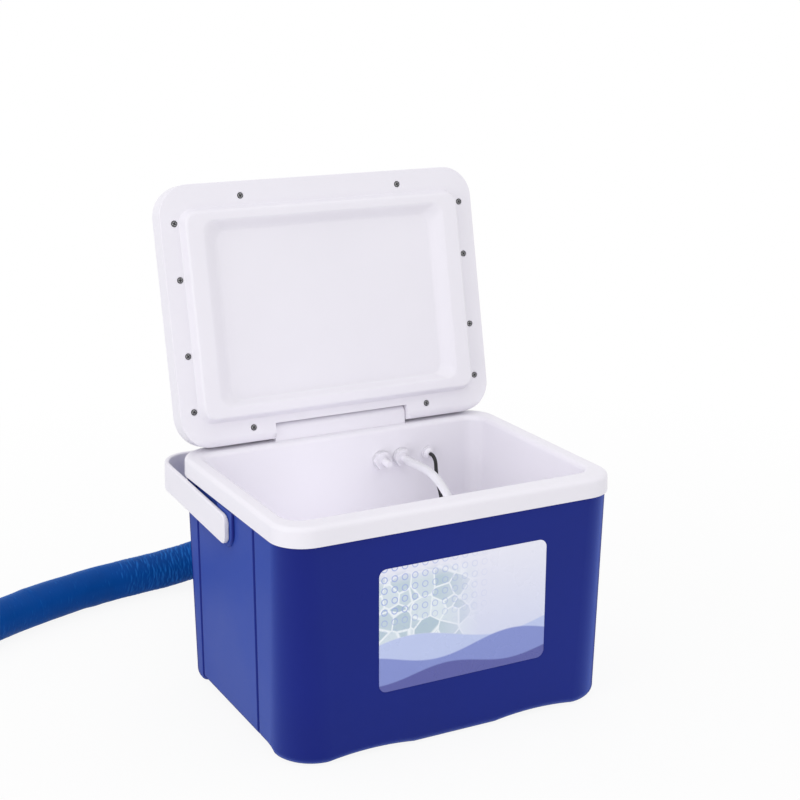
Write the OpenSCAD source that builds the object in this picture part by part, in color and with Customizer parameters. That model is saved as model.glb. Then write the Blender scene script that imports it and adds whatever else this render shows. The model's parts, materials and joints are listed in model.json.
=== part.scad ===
// Cold therapy ice machine in cooler form: an insulated box with a screwed lid, a swing handle,
// a submersible pump in its tub and a sleeved water hose. Millimetres, +Z up, X along the front,
// +Y to the rear, origin at the centre of the underside. The lid stands open and the handle back.

/* [Cabinet] */
// Width over the rim
case_w = 360; // [340:1:400]
// Depth over the rim
case_d = 275; // [262:1:300]
// Height of the rim's lower edge
shell_h = 218; // [205:1:240]
// Height of the rim
rim_h = 19.4; // [18:0.2:23]
// Corner radius of the rim, seen from above
corner_r = 34; // [30:1:38]
// How far the rim stands out past the shell
rim_overhang = 2.1; // [1.8:0.1:2.6]
// How much each side of the shell leans in towards its foot
shell_draft = 1.1; // [0.6:0.1:2]
// Corner radius at the foot
foot_corner_r = 43; // [38:1:48]
// Rounding of the bottom edge
foot_round = 12; // [9:0.5:14]
// Wall of the shell
shell_wall = 2.5; // [2:0.1:3]
// Height of the arches between the feet
arch_h = 5; // [3.5:0.5:6]
// Width of each arch in the front and rear edges
arch_w = 90; // [76:1:96]
// Distance from the middle to the centre of each arch
arch_x = 90; // [84:1:96]
// Front groove of the side panels, from the middle
panel_front = 62; // [54:1:70]
// Rear groove of the side panels, from the middle
panel_rear = 82; // [74:1:88]
// Width of the grooves
groove_w = 3; // [2:0.5:4]
// Depth of the grooves
groove_depth = 1.2; // [0.8:0.1:1.5]

/* [Tub] */
// Width of the rim's top at the sides
side_rim = 18; // [17:0.5:20]
// Width of the rim's top at the front and rear
end_rim = 26.5; // [26:0.5:29]
// Height of the tub's floor
tub_floor = 24; // [22:1:30]
// Wall of the tub
tub_wall = 2.5; // [2:0.1:3]
// How much each side of the tub leans in towards its floor
tub_draft = 4; // [2:0.5:5]
// Corner radius of the tub's mouth
tub_corner_r = 18; // [16:1:24]
// Rounding of the rim's outer top edge
rim_round = 5; // [3:0.5:6]
// Rounding of the tub's mouth
mouth_round = 6; // [4:0.5:7]

/* [Lid] */
// How far the lid stands open, in degrees
lid_open = 101.9; // [90:0.1:102]
// Height of the lid over its flange
lid_h = 28; // [26:0.5:32]
// Wall of the lid
lid_wall = 2.5; // [2:0.1:3]
// Thickness of the inner panel's flange
flange_t = 3; // [2.5:0.1:3.5]
// Depth of the plug under the flange
plug_depth = 10; // [8:0.5:12]
// Running gap of the plug at the sides
plug_gap_x = 3.5; // [3:0.1:4.5]
// Running gap of the plug at the front and rear
plug_gap_y = 2.5; // [2.2:0.1:3]
// Width of the plug's raised ring at the sides
ring_x = 20.5; // [16:0.5:24]
// Width of the plug's raised ring at the front
ring_front = 12; // [10:0.5:16]
// Width of the plug's raised ring at the rear
ring_rear = 13.5; // [12:0.5:18]
// Depth of the recess in the plug
recess_depth = 9; // [6:0.5:9.5]
// Radius of the hinge block's barrel
barrel_r = 7; // [6.6:0.1:7.2]
// Length of the hinge block
block_w = 152; // [130:1:170]
// Radius of the hinge pins
pin_r = 2; // [1.5:0.1:2.5]
// Radius of the lid screws' heads
screw_head_r = 3.3; // [2.8:0.1:3.6]

/* [Handle] */
// Length of the handle from its pivots to the bar's outer face
handle_reach = 177; // [172:1:190]
// Width of the strap
strap_w = 30; // [26:1:32]
// Thickness of the strap
strap_t = 4.6; // [4:0.1:5.5]
// Bend radius of the strap's corners, outside
strap_bend_r = 30; // [24:1:36]
// How far the handle stands above level at rest, in degrees
handle_tilt = 2.5; // [1.5:0.1:3.5]
// Pivot behind the middle of the cabinet
pivot_y = 3; // [0:1:6]
// Pivot below the rim's lower edge
pivot_drop = 19.5; // [19:0.5:24]
// Radius of the pivot stubs
stub_r = 6; // [5:0.1:7]

/* [Label] */
// Width of the front label
label_w = 181; // [120:1:200]
// Height of the front label
label_h = 123; // [90:1:140]
// Height of the label's centre
label_z = 123; // [110:1:130]
// Label's centre, to the right of the middle
label_x = 5.6; // [-8:0.2:8]
// Thickness of the label
label_t = 0.6; // [0.4:0.1:1]

/* [Hose] */
// Diameter of the padded sleeve
sleeve_d = 44; // [40:1:46]
// Outside diameter of the two water tubes
water_tube_d = 9; // [8:0.5:10]
// Distance between the two water fittings
fitting_gap = 24; // [22:1:28]
// Water fittings below the rim's top
fitting_drop = 35; // [30:1:42]
// Length of the coupling
coupling_l = 46; // [42:1:60]
// Width of the coupling
coupling_w = 44; // [40:1:52]
// Thickness of the coupling
coupling_t = 24; // [22:1:28]
// Radius of the coupling's two ports
port_r = 4.2; // [3.5:0.1:5]
// Depth of the coupling's two ports
port_depth = 16; // [12:0.5:18]

/* [Pump] */
// Width of the pump
pump_w = 46; // [42:1:56]
// Length of the pump's motor
motor_l = 38; // [34:1:50]
// Height of the pump over its feet
pump_h = 40; // [38:1:48]
// Radius of the impeller
impeller_r = 12; // [10:0.5:14]
// Number of impeller blades
blades = 6; // [4:1:8]
// Diameter of the pump's lead
lead_d = 4; // [3.4:0.1:4.6]

/* [Hidden] */
$fn = 64;
hull_fn = 32;
slice = 0.01; // thickness of the slices that a lofted block is hulled from
over = 1; // how far a cutter runs past the face it opens
fit = 0.15; // gap between pieces that are pushed together
clear = 0.3; // gap between pieces that only lie next to each other
run = 0.05; // radial gap of a shaft in its hole

// Colours
shell_blue = [0.13, 0.17, 0.50];
white = [0.93, 0.93, 0.95];
hose_blue = [0.08, 0.36, 0.68];
dark = [0.09, 0.09, 0.10];
grey = [0.62, 0.63, 0.66];

// Cabinet
rim_top = shell_h + rim_h;
shell_w = case_w - 2 * rim_overhang;
shell_d = case_d - 2 * rim_overhang;
shell_r = corner_r - rim_overhang;
foot_w = shell_w - 2 * shell_draft;
foot_d = shell_d - 2 * shell_draft;
rim_plate = 2.6; // thickness of the rim's top
rim_draft = 0.4; // how much each side of the rim leans in towards its top
shell_top = rim_top - rim_plate - clear;
inner_floor = arch_h + shell_wall;
draft_angle = atan(shell_draft / (shell_top - foot_round));
arch_r = (pow(arch_w / 2, 2) + arch_h * arch_h) / (2 * arch_h);
side_step = 55; // how far the raised strip under a side panel reaches in
function shell_half(full, z) = full / 2 - shell_draft * (shell_top - z) / (shell_top - foot_round);

// Tub
tub_w = case_w - 2 * side_rim;
tub_d = case_d - 2 * end_rim;
tub_floor_r = 12; // rounding between the tub's floor and walls
function tub_back(z) = tub_d / 2 - tub_draft * (rim_top + over - z)
    / (rim_top + over - tub_floor - tub_floor_r);

// Hinge
hinge_in = 12.9; // axis in from the rim's rear edge
hinge_rise = 11.3; // axis above the rim's top
hinge_y = case_d / 2 - hinge_in;
hinge_z = rim_top + hinge_rise;
notch_gap = 0.5; // lid's running gap round the barrel
end_gap = 0.6; // lid's gap at each end of the block
notch_w = block_w + 2 * end_gap;
pin_grip = 22; // length of a pin inside the block
pin_reach = 15; // length of a pin inside the lid
ear_w = 19; // width of the solid ear that holds a pin

// Lid, drawn shut and then swung open about the hinge
seat_gap = 0.5; // gap between the flange and the rim's top
seat_z = rim_top + seat_gap; // underside of the flange
heel_r = hinge_z - seat_z; // rounding of the lid's heel about the hinge, so that it clears the rim
lid_w = case_w - 3;
lid_d = case_d - 8;
lid_r = corner_r - 1.5;
lid_round = 7; // rounding of the lid's top edge
lid_crown = 2; // height of the crown over the lid's top edge
crown_in = 36; // distance from the top edge to where the crown is flat
crown_r = 20; // corner radius of the crown's flat
plug_w = tub_w - 2 * plug_gap_x;
plug_d = tub_d - 2 * plug_gap_y;
plug_r = tub_corner_r - plug_gap_y;
plug_lean = 4; // how much the plug narrows towards its face on each side
recess_lean_x = 17; // width of the recess's sloped side walls
lean_front = 12.5; // width of its sloped front wall
lean_rear = 7.5; // width of its sloped rear wall
panel_skin = 2.5;
shell_above = seat_z + flange_t; // where the lid moulding sits on the flange
notch_front = hinge_y - barrel_r - notch_gap;

// Lid screws: four at each side, two at the front and two at the rear
screw_out = 5; // side screws out from the plug
end_screw_out = 10; // front and rear screws out from the plug
side_screw_in = 13.5; // outermost side screws in from the plug's ends
side_screw_y = 38.4;
side_screw_ys = [-plug_d / 2 + side_screw_in, -side_screw_y, side_screw_y, plug_d / 2 - side_screw_in];
front_screw_x = 90;
screw_r = 1.45;
screw_l = 13;
screw_head_h = 1.8;
screw_sunk = 0.1; // head below the flange's face
boss_r = 4.2;
rear_screw_x = notch_w / 2 + ear_w + boss_r + 1.2;
screw_spots = concat(
    [for (sx = [-1, 1], y = side_screw_ys) [sx * (plug_w / 2 + screw_out), y]],
    [for (sx = [-1, 1]) [sx * front_screw_x, -(plug_d / 2 + end_screw_out)]],
    [for (sx = [-1, 1]) [sx * rear_screw_x, plug_d / 2 + end_screw_out]]);

// Handle
pivot_z = shell_h - pivot_drop;
strap_in = case_w / 2 + 0.6; // inner face of the arms, clear of the rim
strap_out = strap_in + strap_t;
pad_r = 18; // radius of the shell's pad under the strap
pad_face = strap_in - clear;
stub_l = 12; // length of a pivot stub
socket_wall = 3.5;
socket_end = strap_in - stub_l - 1.5;
socket_floor = 1.2;

// Rear wall pieces
hose_x = 55;
hose_z = 115;
sleeve_r = sleeve_d / 2;
collar_r = sleeve_r + 7;
collar_t = 4;
collar_face = shell_half(shell_d, hose_z + collar_r); // collar's seat on the shell
hose_start = collar_face + collar_t;
boot_l = 26;
neck_r = sleeve_r - 2;
shell_rear_in = shell_half(shell_d, hose_z) - shell_wall;
fitting_z = rim_top - fitting_drop;
fitting_xs = [hose_x - fitting_gap / 2, hose_x + fitting_gap / 2];
tube_r = water_tube_d / 2;
drop_in = 13.5; // centre of the tubes' drop in from the rim's rear edge
drop_y = case_d / 2 - drop_in;
barrel_fit_r = 6; // barrel of a bulkhead fitting
nut_r = 10;
nut_t = 5;
washer_t = 1.5;
wall_in = tub_back(fitting_z - nut_r); // tub's inner face at the fittings
barrel_back = drop_y - tube_r - 1;
lead_x = 100;
gland_r = 6;
gland_flange_r = 7.5;
gland_flange_t = 2.5;
gland_dome_l = 3.5;
gland_back = wall_in + tub_wall + 5;
gland_face = wall_in - gland_flange_t;
inlet_r = 6;
inlet_flange_r = 9.5;
inlet_flange_t = 2.5;
inlet_seat = shell_half(shell_d, fitting_z + inlet_flange_r);
inlet_depth = 15;
inlet_front = inlet_seat - inlet_depth;
socket_r = 2.8; // socket of the power inlet
socket_pin_r = 1.05;
inlet_nut_t = 3;
stem_l = 14; // spigot of a bulkhead fitting inside the tub
pocket_side = 16; // foam-free pocket past the rear wall pieces, at the sides and the top
pocket_x = [hose_x - collar_r - pocket_side / 4, lead_x + pocket_side];
pocket_z = [hose_z - collar_r - 2, fitting_z + pocket_side];

// Pump, standing on the tub's floor with its suction face to the front
pump_x = 95;
pump_y = 8; // rear face of the motor
foot_pad_h = 4;
foot_pad_r = 6;
pump_z = tub_floor + foot_pad_h;
axis_z = pump_z + pump_h / 2;
volute_l = 14;
motor_front = pump_y - motor_l;
volute_front = motor_front - volute_l;
chamber_r = impeller_r + 1.2;
chamber_l = 9;
magnet_r = 7;
magnet_l = 22;
well_r = magnet_r + 0.6;
shaft_r = 1.5;
shaft_l = magnet_l + 8;
strainer_l = 12;
strainer_wall = 2;
slot_w = 2.4;
slot_pitch = 5.6;
slot_in = 7; // ends of the slots in from the sides of the cap
outlet_x = pump_x - pump_w / 2 + tube_r + 5;
outlet_y = motor_front - volute_l / 2;
outlet_h = 12;

// Cord routes. The hose runs straight out of the collar, down to the ground and off to the left.
hose_run = [[55, 140, 115], [55, 161, 115], [55, 183, 115], [50, 225, 110], [34, 266, 96],
    [7, 301, 75], [-29, 328, 51], [-72, 346, 33], [-118, 351, 24], [-163, 348, 22],
    [-207, 340, 22], [-250, 328, 22], [-292, 313, 22], [-332, 295, 22], [-372, 274, 22],
    [-412, 252, 22]];
// The rest of the hose lies in one open loop.
loop_centre = [-564, 409];
loop_r = 210;
loop_from = 208.5; // heading of the hose where the loop begins, in degrees
loop_step = 15;
loop_steps = 14;
hose_loop = [for (i = [0:loop_steps]) let (h = loop_from - loop_step * i)
    [loop_centre[0] - loop_r * sin(h), loop_centre[1] + loop_r * cos(h), 22]];
end_heading = loop_from - loop_step * loop_steps;
end_straight = 44; // straight stretch before the sleeve's end
end_dir = [cos(end_heading), sin(end_heading), 0];
sleeve_end = hose_loop[loop_steps] + end_straight * end_dir;
sleeve_path = concat([[hose_x, hose_start, hose_z]], drop_first(hose_run), hose_loop,
    [hose_loop[loop_steps] + end_straight / 2 * end_dir, sleeve_end]);
tail_l = 62;
tail_gap = 14;
tail_drop = sleeve_r - coupling_t / 2;
barb_l = 12;
barb_r = 3;
button_w = 15;
button_l = 11;
button_t = 3.4;
button_proud = 2;
button_travel = 1.8;
button_x = coupling_l * 0.42;
seal_t = 1.6;
port_gap = 18;

// The pump's lead hangs from the gland, touches the tub's floor and ends in the motor's rear.
lead_run = [[100, 95.6, 200.4], [100.1, 92.6, 196], [100.2, 91.4, 188], [101, 90.2, 176],
    [104.4, 88.6, 160], [107, 87.2, 140], [108.5, 86, 112], [108.5, 84, 84], [108.3, 80, 62],
    [107.5, 72, 44], [105.5, 62, 32.5], [103.5, 52, 27], [101.5, 42.5, 26.2], [99.5, 34.5, 28.8],
    [98, 28.5, 34.2], [96.6, 24.2, 40.3], [95.5, 19, 45.8]];
gland_tip = gland_face - gland_dome_l;
lead_path = straight_ends(concat([[lead_x, gland_tip, fitting_z],
    [lead_x, gland_tip - lead_d, fitting_z]], lead_run,
    [[pump_x, pump_y + 4, axis_z], [pump_x, pump_y, axis_z]]), 2);

// The supply tube rises from the pump's spout to the left fitting.
supply_x = fitting_xs[1];
supply_run = [[78, -36.5, 98], [74.5, -33.5, 119], [73, -23.5, 143], [72.5, -5, 167.5],
    [72, 19, 188], [71, 45, 199.5], [69, 69, 202.4]];
supply_end = wall_in - washer_t - nut_t - stem_l;
supply_path = straight_ends(concat([[outlet_x, outlet_y, pump_z + pump_h + 2],
    [outlet_x, outlet_y, pump_z + pump_h + outlet_h + 4]], supply_run,
    [[supply_x, supply_end - 6, fitting_z], [supply_x, supply_end + 6, fitting_z]]), 2);

// Lists and vectors
function drop_first(l) = [for (i = [1:len(l) - 1]) l[i]];
function unit(v) = v / norm(v);
// A point of a Catmull-Rom curve between b and c
function spline(a, b, c, d, t) = 0.5 * (2 * b + (c - a) * t + (2 * a - 5 * b + 4 * c - d) * t * t
    + (3 * b - a - 3 * c + d) * t * t * t);
// A route with n points for each of its spans
function smooth(p, n) = let (m = len(p) - 1) concat(
    [for (i = [0:m - 1], k = [0:n - 1]) spline(p[max(i - 1, 0)], p[i], p[i + 1],
        p[min(i + 2, m)], k / n)], [p[m]]);
// The same with its first and last spans quite straight
function straight_ends(p, n) = let (s = smooth(p, n), m = len(s) - 1)
    concat([s[0]], [for (i = [n:m - n]) s[i]], [s[m]]);
function path_length(p) = len(p) < 2 ? 0 : total([for (i = [1:len(p) - 1]) norm(p[i] - p[i - 1])]);
function total(l, i = 0) = i >= len(l) ? 0 : l[i] + total(l, i + 1);

// Outline with true round corners
module rounded(w, d, r) {
    square([w - 2 * r, d], center = true);
    square([w, d - 2 * r], center = true);
    for (sx = [-1, 1], sy = [-1, 1])
        translate([sx * (w / 2 - r), sy * (d / 2 - r)]) circle(r);
}

module slab(w, d, r, z) {
    translate([0, 0, z]) linear_extrude(slice) rounded(w, d, r);
}

// Block that changes size and corner radius from z0 to z1, with rounded bottom and top edges
module block(w0, d0, r0, z0, w1, d1, r1, z1, round0 = 0, round1 = 0, steps = 5) {
    hull() {
        for (i = [0:steps]) {
            a = 90 * i / steps;
            in0 = round0 * (1 - cos(a));
            in1 = round1 * (1 - cos(a));
            slab(w0 - 2 * in0, d0 - 2 * in0, r0 - in0, z0 + round0 * (1 - sin(a)), $fn = hull_fn);
            slab(w1 - 2 * in1, d1 - 2 * in1, r1 - in1, z1 - slice - round1 * (1 - sin(a)),
                $fn = hull_fn);
        }
    }
}

// What is cut off an inner edge at z to round it with radius r
module edge_cutter(w, d, corner, z, r) {
    module profile() {
        difference() {
            translate([-0.5, -r]) square([r + 0.5, r + over]);
            translate([r, -r]) circle(r);
        }
    }
    translate([0, 0, z]) {
        for (sx = [-1, 1], sy = [-1, 1])
            translate([sx * (w / 2 - corner), sy * (d / 2 - corner), 0])
                rotate([0, 0, sx > 0 ? (sy > 0 ? 0 : 270) : (sy > 0 ? 90 : 180)])
                    rotate_extrude(angle = 90) translate([corner, 0]) profile();
        for (s = [0, 180]) rotate([0, 0, s]) {
            translate([w / 2, d / 2 - corner, 0]) rotate([90, 0, 0])
                linear_extrude(d - 2 * corner) profile();
            translate([-w / 2 + corner, d / 2, 0]) rotate([90, 0, 90])
                linear_extrude(w - 2 * corner) profile();
        }
    }
}

// Tube of given radius along a path, as one closed solid; ref sets where its sides begin
module tube(path, r, sides, ref = [0, 0, 1]) {
    m = len(path) - 1;
    rings = [for (i = [0:m]) let (
        t = unit(path[min(i + 1, m)] - path[max(i - 1, 0)]),
        u = unit(cross(t, ref)),
        v = cross(u, t))
        for (j = [0:sides - 1]) let (a = 360 * (j + 0.5) / sides)
            path[i] + r * (cos(a) * u + sin(a) * v)];
    sides_tri = [for (i = [0:m - 1], j = [0:sides - 1]) let (
        a = i * sides + j, b = i * sides + (j + 1) % sides, c = a + sides, d = b + sides)
        each [[a, b, d], [a, d, c]]];
    cap0 = [for (j = [1:sides - 2]) [0, j + 1, j]];
    cap1 = [for (j = [1:sides - 2]) [m * sides, m * sides + j, m * sides + j + 1]];
    polyhedron(points = rings, faces = concat(sides_tri, cap0, cap1));
}

// Cylinder along +Y from y0 to y1
module rod_y(x, z, y0, y1, r, fn = 64) {
    translate([x, y0, z]) rotate([-90, 0, 0]) cylinder(r = r, h = y1 - y0, $fn = fn);
}

// Cylinder along X, centred on the middle plane of the cabinet or on one side of it
module rod_x(x0, x1, y, z, r) {
    translate([x0, y, z]) rotate([0, 90, 0]) cylinder(r = r, h = x1 - x0);
}

module lid_swing() {
    translate([0, hinge_y, hinge_z]) rotate([-lid_open, 0, 0]) translate([0, -hinge_y, -hinge_z])
        children();
}

module handle_swing() {
    translate([0, pivot_y, pivot_z]) rotate([handle_tilt, 0, 0]) children();
}

// Cabinet

module side_groove(sx, y) {
    translate([sx * foot_w / 2, y, foot_round]) rotate([0, sx * draft_angle, 0])
        cube([2 * groove_depth, groove_w, 2 * shell_h], center = true);
}

module handle_pad(sx) {
    pad_in = shell_half(shell_w, pivot_z - pad_r) - shell_wall;
    translate([sx > 0 ? pad_in : -pad_face, 0, 0]) rotate([90, 0, 90])
        linear_extrude(pad_face - pad_in) {
            translate([pivot_y, pivot_z]) circle(pad_r);
            translate([pivot_y - pad_r, pivot_z]) square([2 * pad_r, pivot_drop - clear]);
        }
    rod_x(sx > 0 ? socket_end - socket_floor : -pad_face, sx > 0 ? pad_face
        : -(socket_end - socket_floor), pivot_y, pivot_z, stub_r + socket_wall);
}

module outer_shell() {
    color(shell_blue) difference() {
        union() {
            difference() {
                block(foot_w, foot_d, foot_corner_r, 0, shell_w, shell_d, shell_r, shell_top,
                    round0 = foot_round);
                block(foot_w - 2 * shell_wall, foot_d - 2 * shell_wall, foot_corner_r - shell_wall,
                    inner_floor, shell_w - 2 * shell_wall, shell_d - 2 * shell_wall,
                    shell_r - shell_wall, shell_top + over, round0 = foot_round - shell_wall,
                    steps = 3);
            }
            for (sx = [-1, 1]) handle_pad(sx);
        }
        // arches in the front and rear edges
        for (sx = [-1, 1]) translate([sx * arch_x, 0, arch_h - arch_r]) rotate([90, 0, 0])
            cylinder(r = arch_r, h = case_d, center = true, $fn = 200);
        // raised strips between the feet under the side panels
        for (x = [-foot_w / 2 - over, foot_w / 2 - side_step]) translate([x, -panel_front, -over])
            cube([side_step + over, panel_front + panel_rear, arch_h + over]);
        for (sx = [-1, 1], y = [-panel_front, panel_rear]) side_groove(sx, y);
        for (sx = [-1, 1])
            rod_x(sx > 0 ? socket_end : -pad_face - over, sx > 0 ? pad_face + over : -socket_end,
                pivot_y, pivot_z, stub_r + run);
        rod_y(hose_x, hose_z, shell_rear_in - over, case_d / 2 + over, neck_r + fit);
        rod_y(lead_x, fitting_z, shell_rear_in - over, case_d / 2 + over, inlet_r + fit);
    }
}

module wall_foam() {
    color([0.95, 0.9, 0.7]) difference() {
        block(foot_w - 2 * (shell_wall + clear), foot_d - 2 * (shell_wall + clear),
            foot_corner_r - shell_wall - clear, inner_floor + clear,
            shell_w - 2 * (shell_wall + clear), shell_d - 2 * (shell_wall + clear),
            shell_r - shell_wall - clear, shell_top - clear, round0 = foot_round - shell_wall,
            steps = 3);
        tub_block(tub_wall + clear, rim_top);
        for (sx = [-1, 1])
            rod_x(sx > 0 ? socket_end - 3 : -case_w / 2, sx > 0 ? case_w / 2 : -socket_end + 3,
                pivot_y, pivot_z, stub_r + socket_wall + clear);
        translate([pocket_x[0], tub_d / 2, pocket_z[0]])
            cube([pocket_x[1] - pocket_x[0], case_d, pocket_z[1] - pocket_z[0]]);
    }
}

// The tub's form, grown by t on every side, up to height top
module tub_block(t, top) {
    block(tub_w - 2 * tub_draft + 2 * t, tub_d - 2 * tub_draft + 2 * t,
        tub_corner_r - 2 + t, tub_floor - t, tub_w + 2 * t, tub_d + 2 * t, tub_corner_r + t, top,
        round0 = tub_floor_r + t);
}

module hinge_block() {
    rod_x(-block_w / 2, block_w / 2, hinge_y, hinge_z, barrel_r);
    translate([-block_w / 2, hinge_y - barrel_r, rim_top - rim_plate])
        cube([block_w, 2 * barrel_r, hinge_rise + rim_plate]);
}

module inner_liner() {
    color(white) difference() {
        union() {
            difference() {
                block(case_w, case_d, corner_r, shell_h, case_w - 2 * rim_draft,
                    case_d - 2 * rim_draft, corner_r - rim_draft, rim_top, round1 = rim_round);
                translate([0, 0, shell_h - over])
                    linear_extrude(rim_h - rim_plate + over)
                        rounded(shell_w + 2 * fit, shell_d + 2 * fit, shell_r + fit);
            }
            tub_block(tub_wall, rim_top - rim_plate / 2);
            hinge_block();
        }
        tub_block(0, rim_top + over);
        edge_cutter(tub_w, tub_d, tub_corner_r, rim_top, mouth_round);
        for (sx = [-1, 1])
            rod_x(sx > 0 ? block_w / 2 - pin_grip : -block_w / 2 - over,
                sx > 0 ? block_w / 2 + over : -block_w / 2 + pin_grip, hinge_y, hinge_z, pin_r);
        for (x = fitting_xs)
            rod_y(x, fitting_z, tub_d / 2 - 10, tub_d / 2 + 10, barrel_fit_r + fit);
        rod_y(lead_x, fitting_z, tub_d / 2 - 10, tub_d / 2 + 10, gland_r + fit);
    }
}

module front_label() {
    label_r = 8;
    color(white) translate([label_x, -shell_half(shell_d, label_z), label_z])
        rotate([90 + draft_angle, 0, 0]) linear_extrude(label_t)
            rounded(label_w, label_h, label_r);
}

module hinge_pins() {
    color(grey) for (sx = [-1, 1])
        rod_x(sx > 0 ? block_w / 2 - pin_grip : -block_w / 2 - end_gap - pin_reach,
            sx > 0 ? block_w / 2 + end_gap + pin_reach : -block_w / 2 + pin_grip,
            hinge_y, hinge_z, pin_r);
}

// Rear wall

module hose_collar() {
    color(dark) difference() {
        union() {
            rod_y(hose_x, hose_z, collar_face, collar_face + collar_t, collar_r);
            rod_y(hose_x, hose_z, shell_rear_in - 2, collar_face + 1, neck_r);
            translate([hose_x, hose_start - 0.5, hose_z]) rotate([-90, 0, 0])
                cylinder(r1 = collar_r - 2, r2 = sleeve_r + 2.2, h = boot_l);
        }
        rod_y(hose_x, hose_z, hose_start, hose_start + boot_l + over, sleeve_r + clear);
        for (x = fitting_xs) rod_y(x, hose_z, shell_rear_in - 4, hose_start + over, tube_r + fit);
    }
}

module wall_tubes() {
    color(white) for (x = fitting_xs) {
        rod_y(x, fitting_z, barrel_back, drop_y, tube_r);
        translate([x, drop_y, fitting_z]) sphere(tube_r);
        translate([x, drop_y, hose_z]) cylinder(r = tube_r, h = fitting_z - hose_z);
        translate([x, drop_y, hose_z]) sphere(tube_r);
        rod_y(x, hose_z, drop_y, hose_start, tube_r);
    }
}

module bulkhead_fittings() {
    stop_t = 2.5;
    front = wall_in - washer_t - nut_t;
    color(white) for (x = fitting_xs) {
        rod_y(x, fitting_z, front, barrel_back, barrel_fit_r);
        rod_y(x, fitting_z, front - stem_l, front, 3.2);
        for (k = [0:2]) translate([x, front - stem_l + 1 + 4 * k, fitting_z]) rotate([-90, 0, 0])
            cylinder(r1 = 3.2, r2 = 3.9, h = 3);
        // head behind the tub's wall
        rod_y(x, fitting_z, tub_back(fitting_z + nut_r) + tub_wall + fit,
            tub_back(fitting_z + nut_r) + tub_wall + fit + stop_t, barrel_fit_r + 2.5);
    }
}

module fitting_washers() {
    color(dark) for (x = fitting_xs) difference() {
        rod_y(x, fitting_z, wall_in - washer_t, wall_in, nut_r);
        rod_y(x, fitting_z, wall_in - 5, wall_in + 5, barrel_fit_r + fit);
    }
}

module fitting_nuts() {
    color(grey) for (x = fitting_xs) difference() {
        rod_y(x, fitting_z, wall_in - washer_t - nut_t, wall_in - washer_t, nut_r, 6);
        rod_y(x, fitting_z, wall_in - 12, wall_in, barrel_fit_r + fit);
    }
}

module lead_gland() {
    color(grey) difference() {
        union() {
            rod_y(lead_x, fitting_z, gland_face, wall_in, gland_flange_r);
            rod_y(lead_x, fitting_z, wall_in - 1, gland_back, gland_r);
            translate([lead_x, gland_face + 0.5, fitting_z]) rotate([90, 0, 0])
                cylinder(r1 = gland_r, r2 = gland_r - 2.4, h = gland_dome_l + 0.5);
        }
        rod_y(lead_x, fitting_z, wall_in - 1, gland_back + over, 3.6);
    }
}

module lead_gland_nut() {
    nut_front = tub_back(fitting_z + gland_r + 3) + tub_wall + fit;
    color(grey) difference() {
        rod_y(lead_x, fitting_z, nut_front, nut_front + 3, gland_r + 3, 6);
        rod_y(lead_x, fitting_z, nut_front - 1, nut_front + 4, gland_r + fit);
    }
}

module dc_inlet() {
    color(dark) {
        difference() {
            union() {
                rod_y(lead_x, fitting_z, inlet_seat, inlet_seat + inlet_flange_t, inlet_flange_r);
                rod_y(lead_x, fitting_z, inlet_front, inlet_seat + 1, inlet_r);
            }
            rod_y(lead_x, fitting_z, inlet_front + 4, inlet_seat + 10, socket_r);
        }
        rod_y(lead_x, fitting_z, inlet_front + 3, inlet_seat, socket_pin_r);
    }
}

module dc_inlet_nut() {
    nut_back = shell_half(shell_d, fitting_z - inlet_r - 3) - shell_wall - fit;
    color(grey) difference() {
        rod_y(lead_x, fitting_z, nut_back - inlet_nut_t, nut_back, inlet_r + 3, 6);
        rod_y(lead_x, fitting_z, nut_back - 5, nut_back + 1, inlet_r + fit);
    }
}

module inlet_wires() {
    color("red") for (s = [-1, 1])
        rod_y(lead_x + s * 1.6, fitting_z, wall_in + 1, inlet_front, 1.1);
}

module pump_lead() {
    color(dark) tube(lead_path, lead_d / 2, 8, [1, 0, 0]);
}

// Pump

module pump_housing() {
    color(dark) difference() {
        union() {
            translate([pump_x, pump_y, axis_z]) rotate([90, 0, 0])
                linear_extrude(motor_l + volute_l) rounded(pump_w, pump_h, 7);
            translate([outlet_x, outlet_y, pump_z + pump_h - 3]) cylinder(r = tube_r + 1.6, h = 5);
            translate([outlet_x, outlet_y, pump_z + pump_h - 3]) cylinder(r = 3.2, h = outlet_h);
            for (z = [-1, 1] * pump_h * 0.28) translate([pump_x - pump_w / 2 - 1, pump_y - motor_l + 3,
                axis_z + z - 1]) cube([pump_w + 2, motor_l - 6, 2]);
        }
        rod_y(pump_x, axis_z, volute_front - over, volute_front + chamber_l, chamber_r);
        rod_y(pump_x, axis_z, volute_front + chamber_l - over, volute_front + chamber_l + magnet_l + 2,
            well_r);
        rod_y(pump_x, axis_z, volute_front, volute_front + chamber_l + magnet_l + 5, shaft_r);
        // channel from the chamber up to the spout
        translate([outlet_x, outlet_y, axis_z]) cylinder(r = 2.2, h = pump_h);
    }
}

module pump_shaft() {
    color(grey) rod_y(pump_x, axis_z, volute_front + chamber_l + magnet_l + 5 - shaft_l,
        volute_front + chamber_l + magnet_l + 5, shaft_r);
}

module pump_strainer() {
    cap_w = pump_w - 4;
    cap_h = pump_h - 4;
    rows = floor((cap_h - 8) / slot_pitch);
    color(dark) difference() {
        translate([pump_x, volute_front, axis_z]) rotate([90, 0, 0])
            linear_extrude(strainer_l) rounded(cap_w, cap_h, 5);
        translate([pump_x, volute_front + 1, axis_z]) rotate([90, 0, 0])
            linear_extrude(strainer_l - strainer_wall + 1)
                rounded(cap_w - 2 * strainer_wall, cap_h - 2 * strainer_wall, 3.5);
        for (i = [0:rows - 1]) translate([pump_x, volute_front - strainer_l,
            axis_z + (i - (rows - 1) / 2) * slot_pitch])
            cube([cap_w - 2 * slot_in, 3 * strainer_wall, slot_w], center = true);
    }
}

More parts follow.
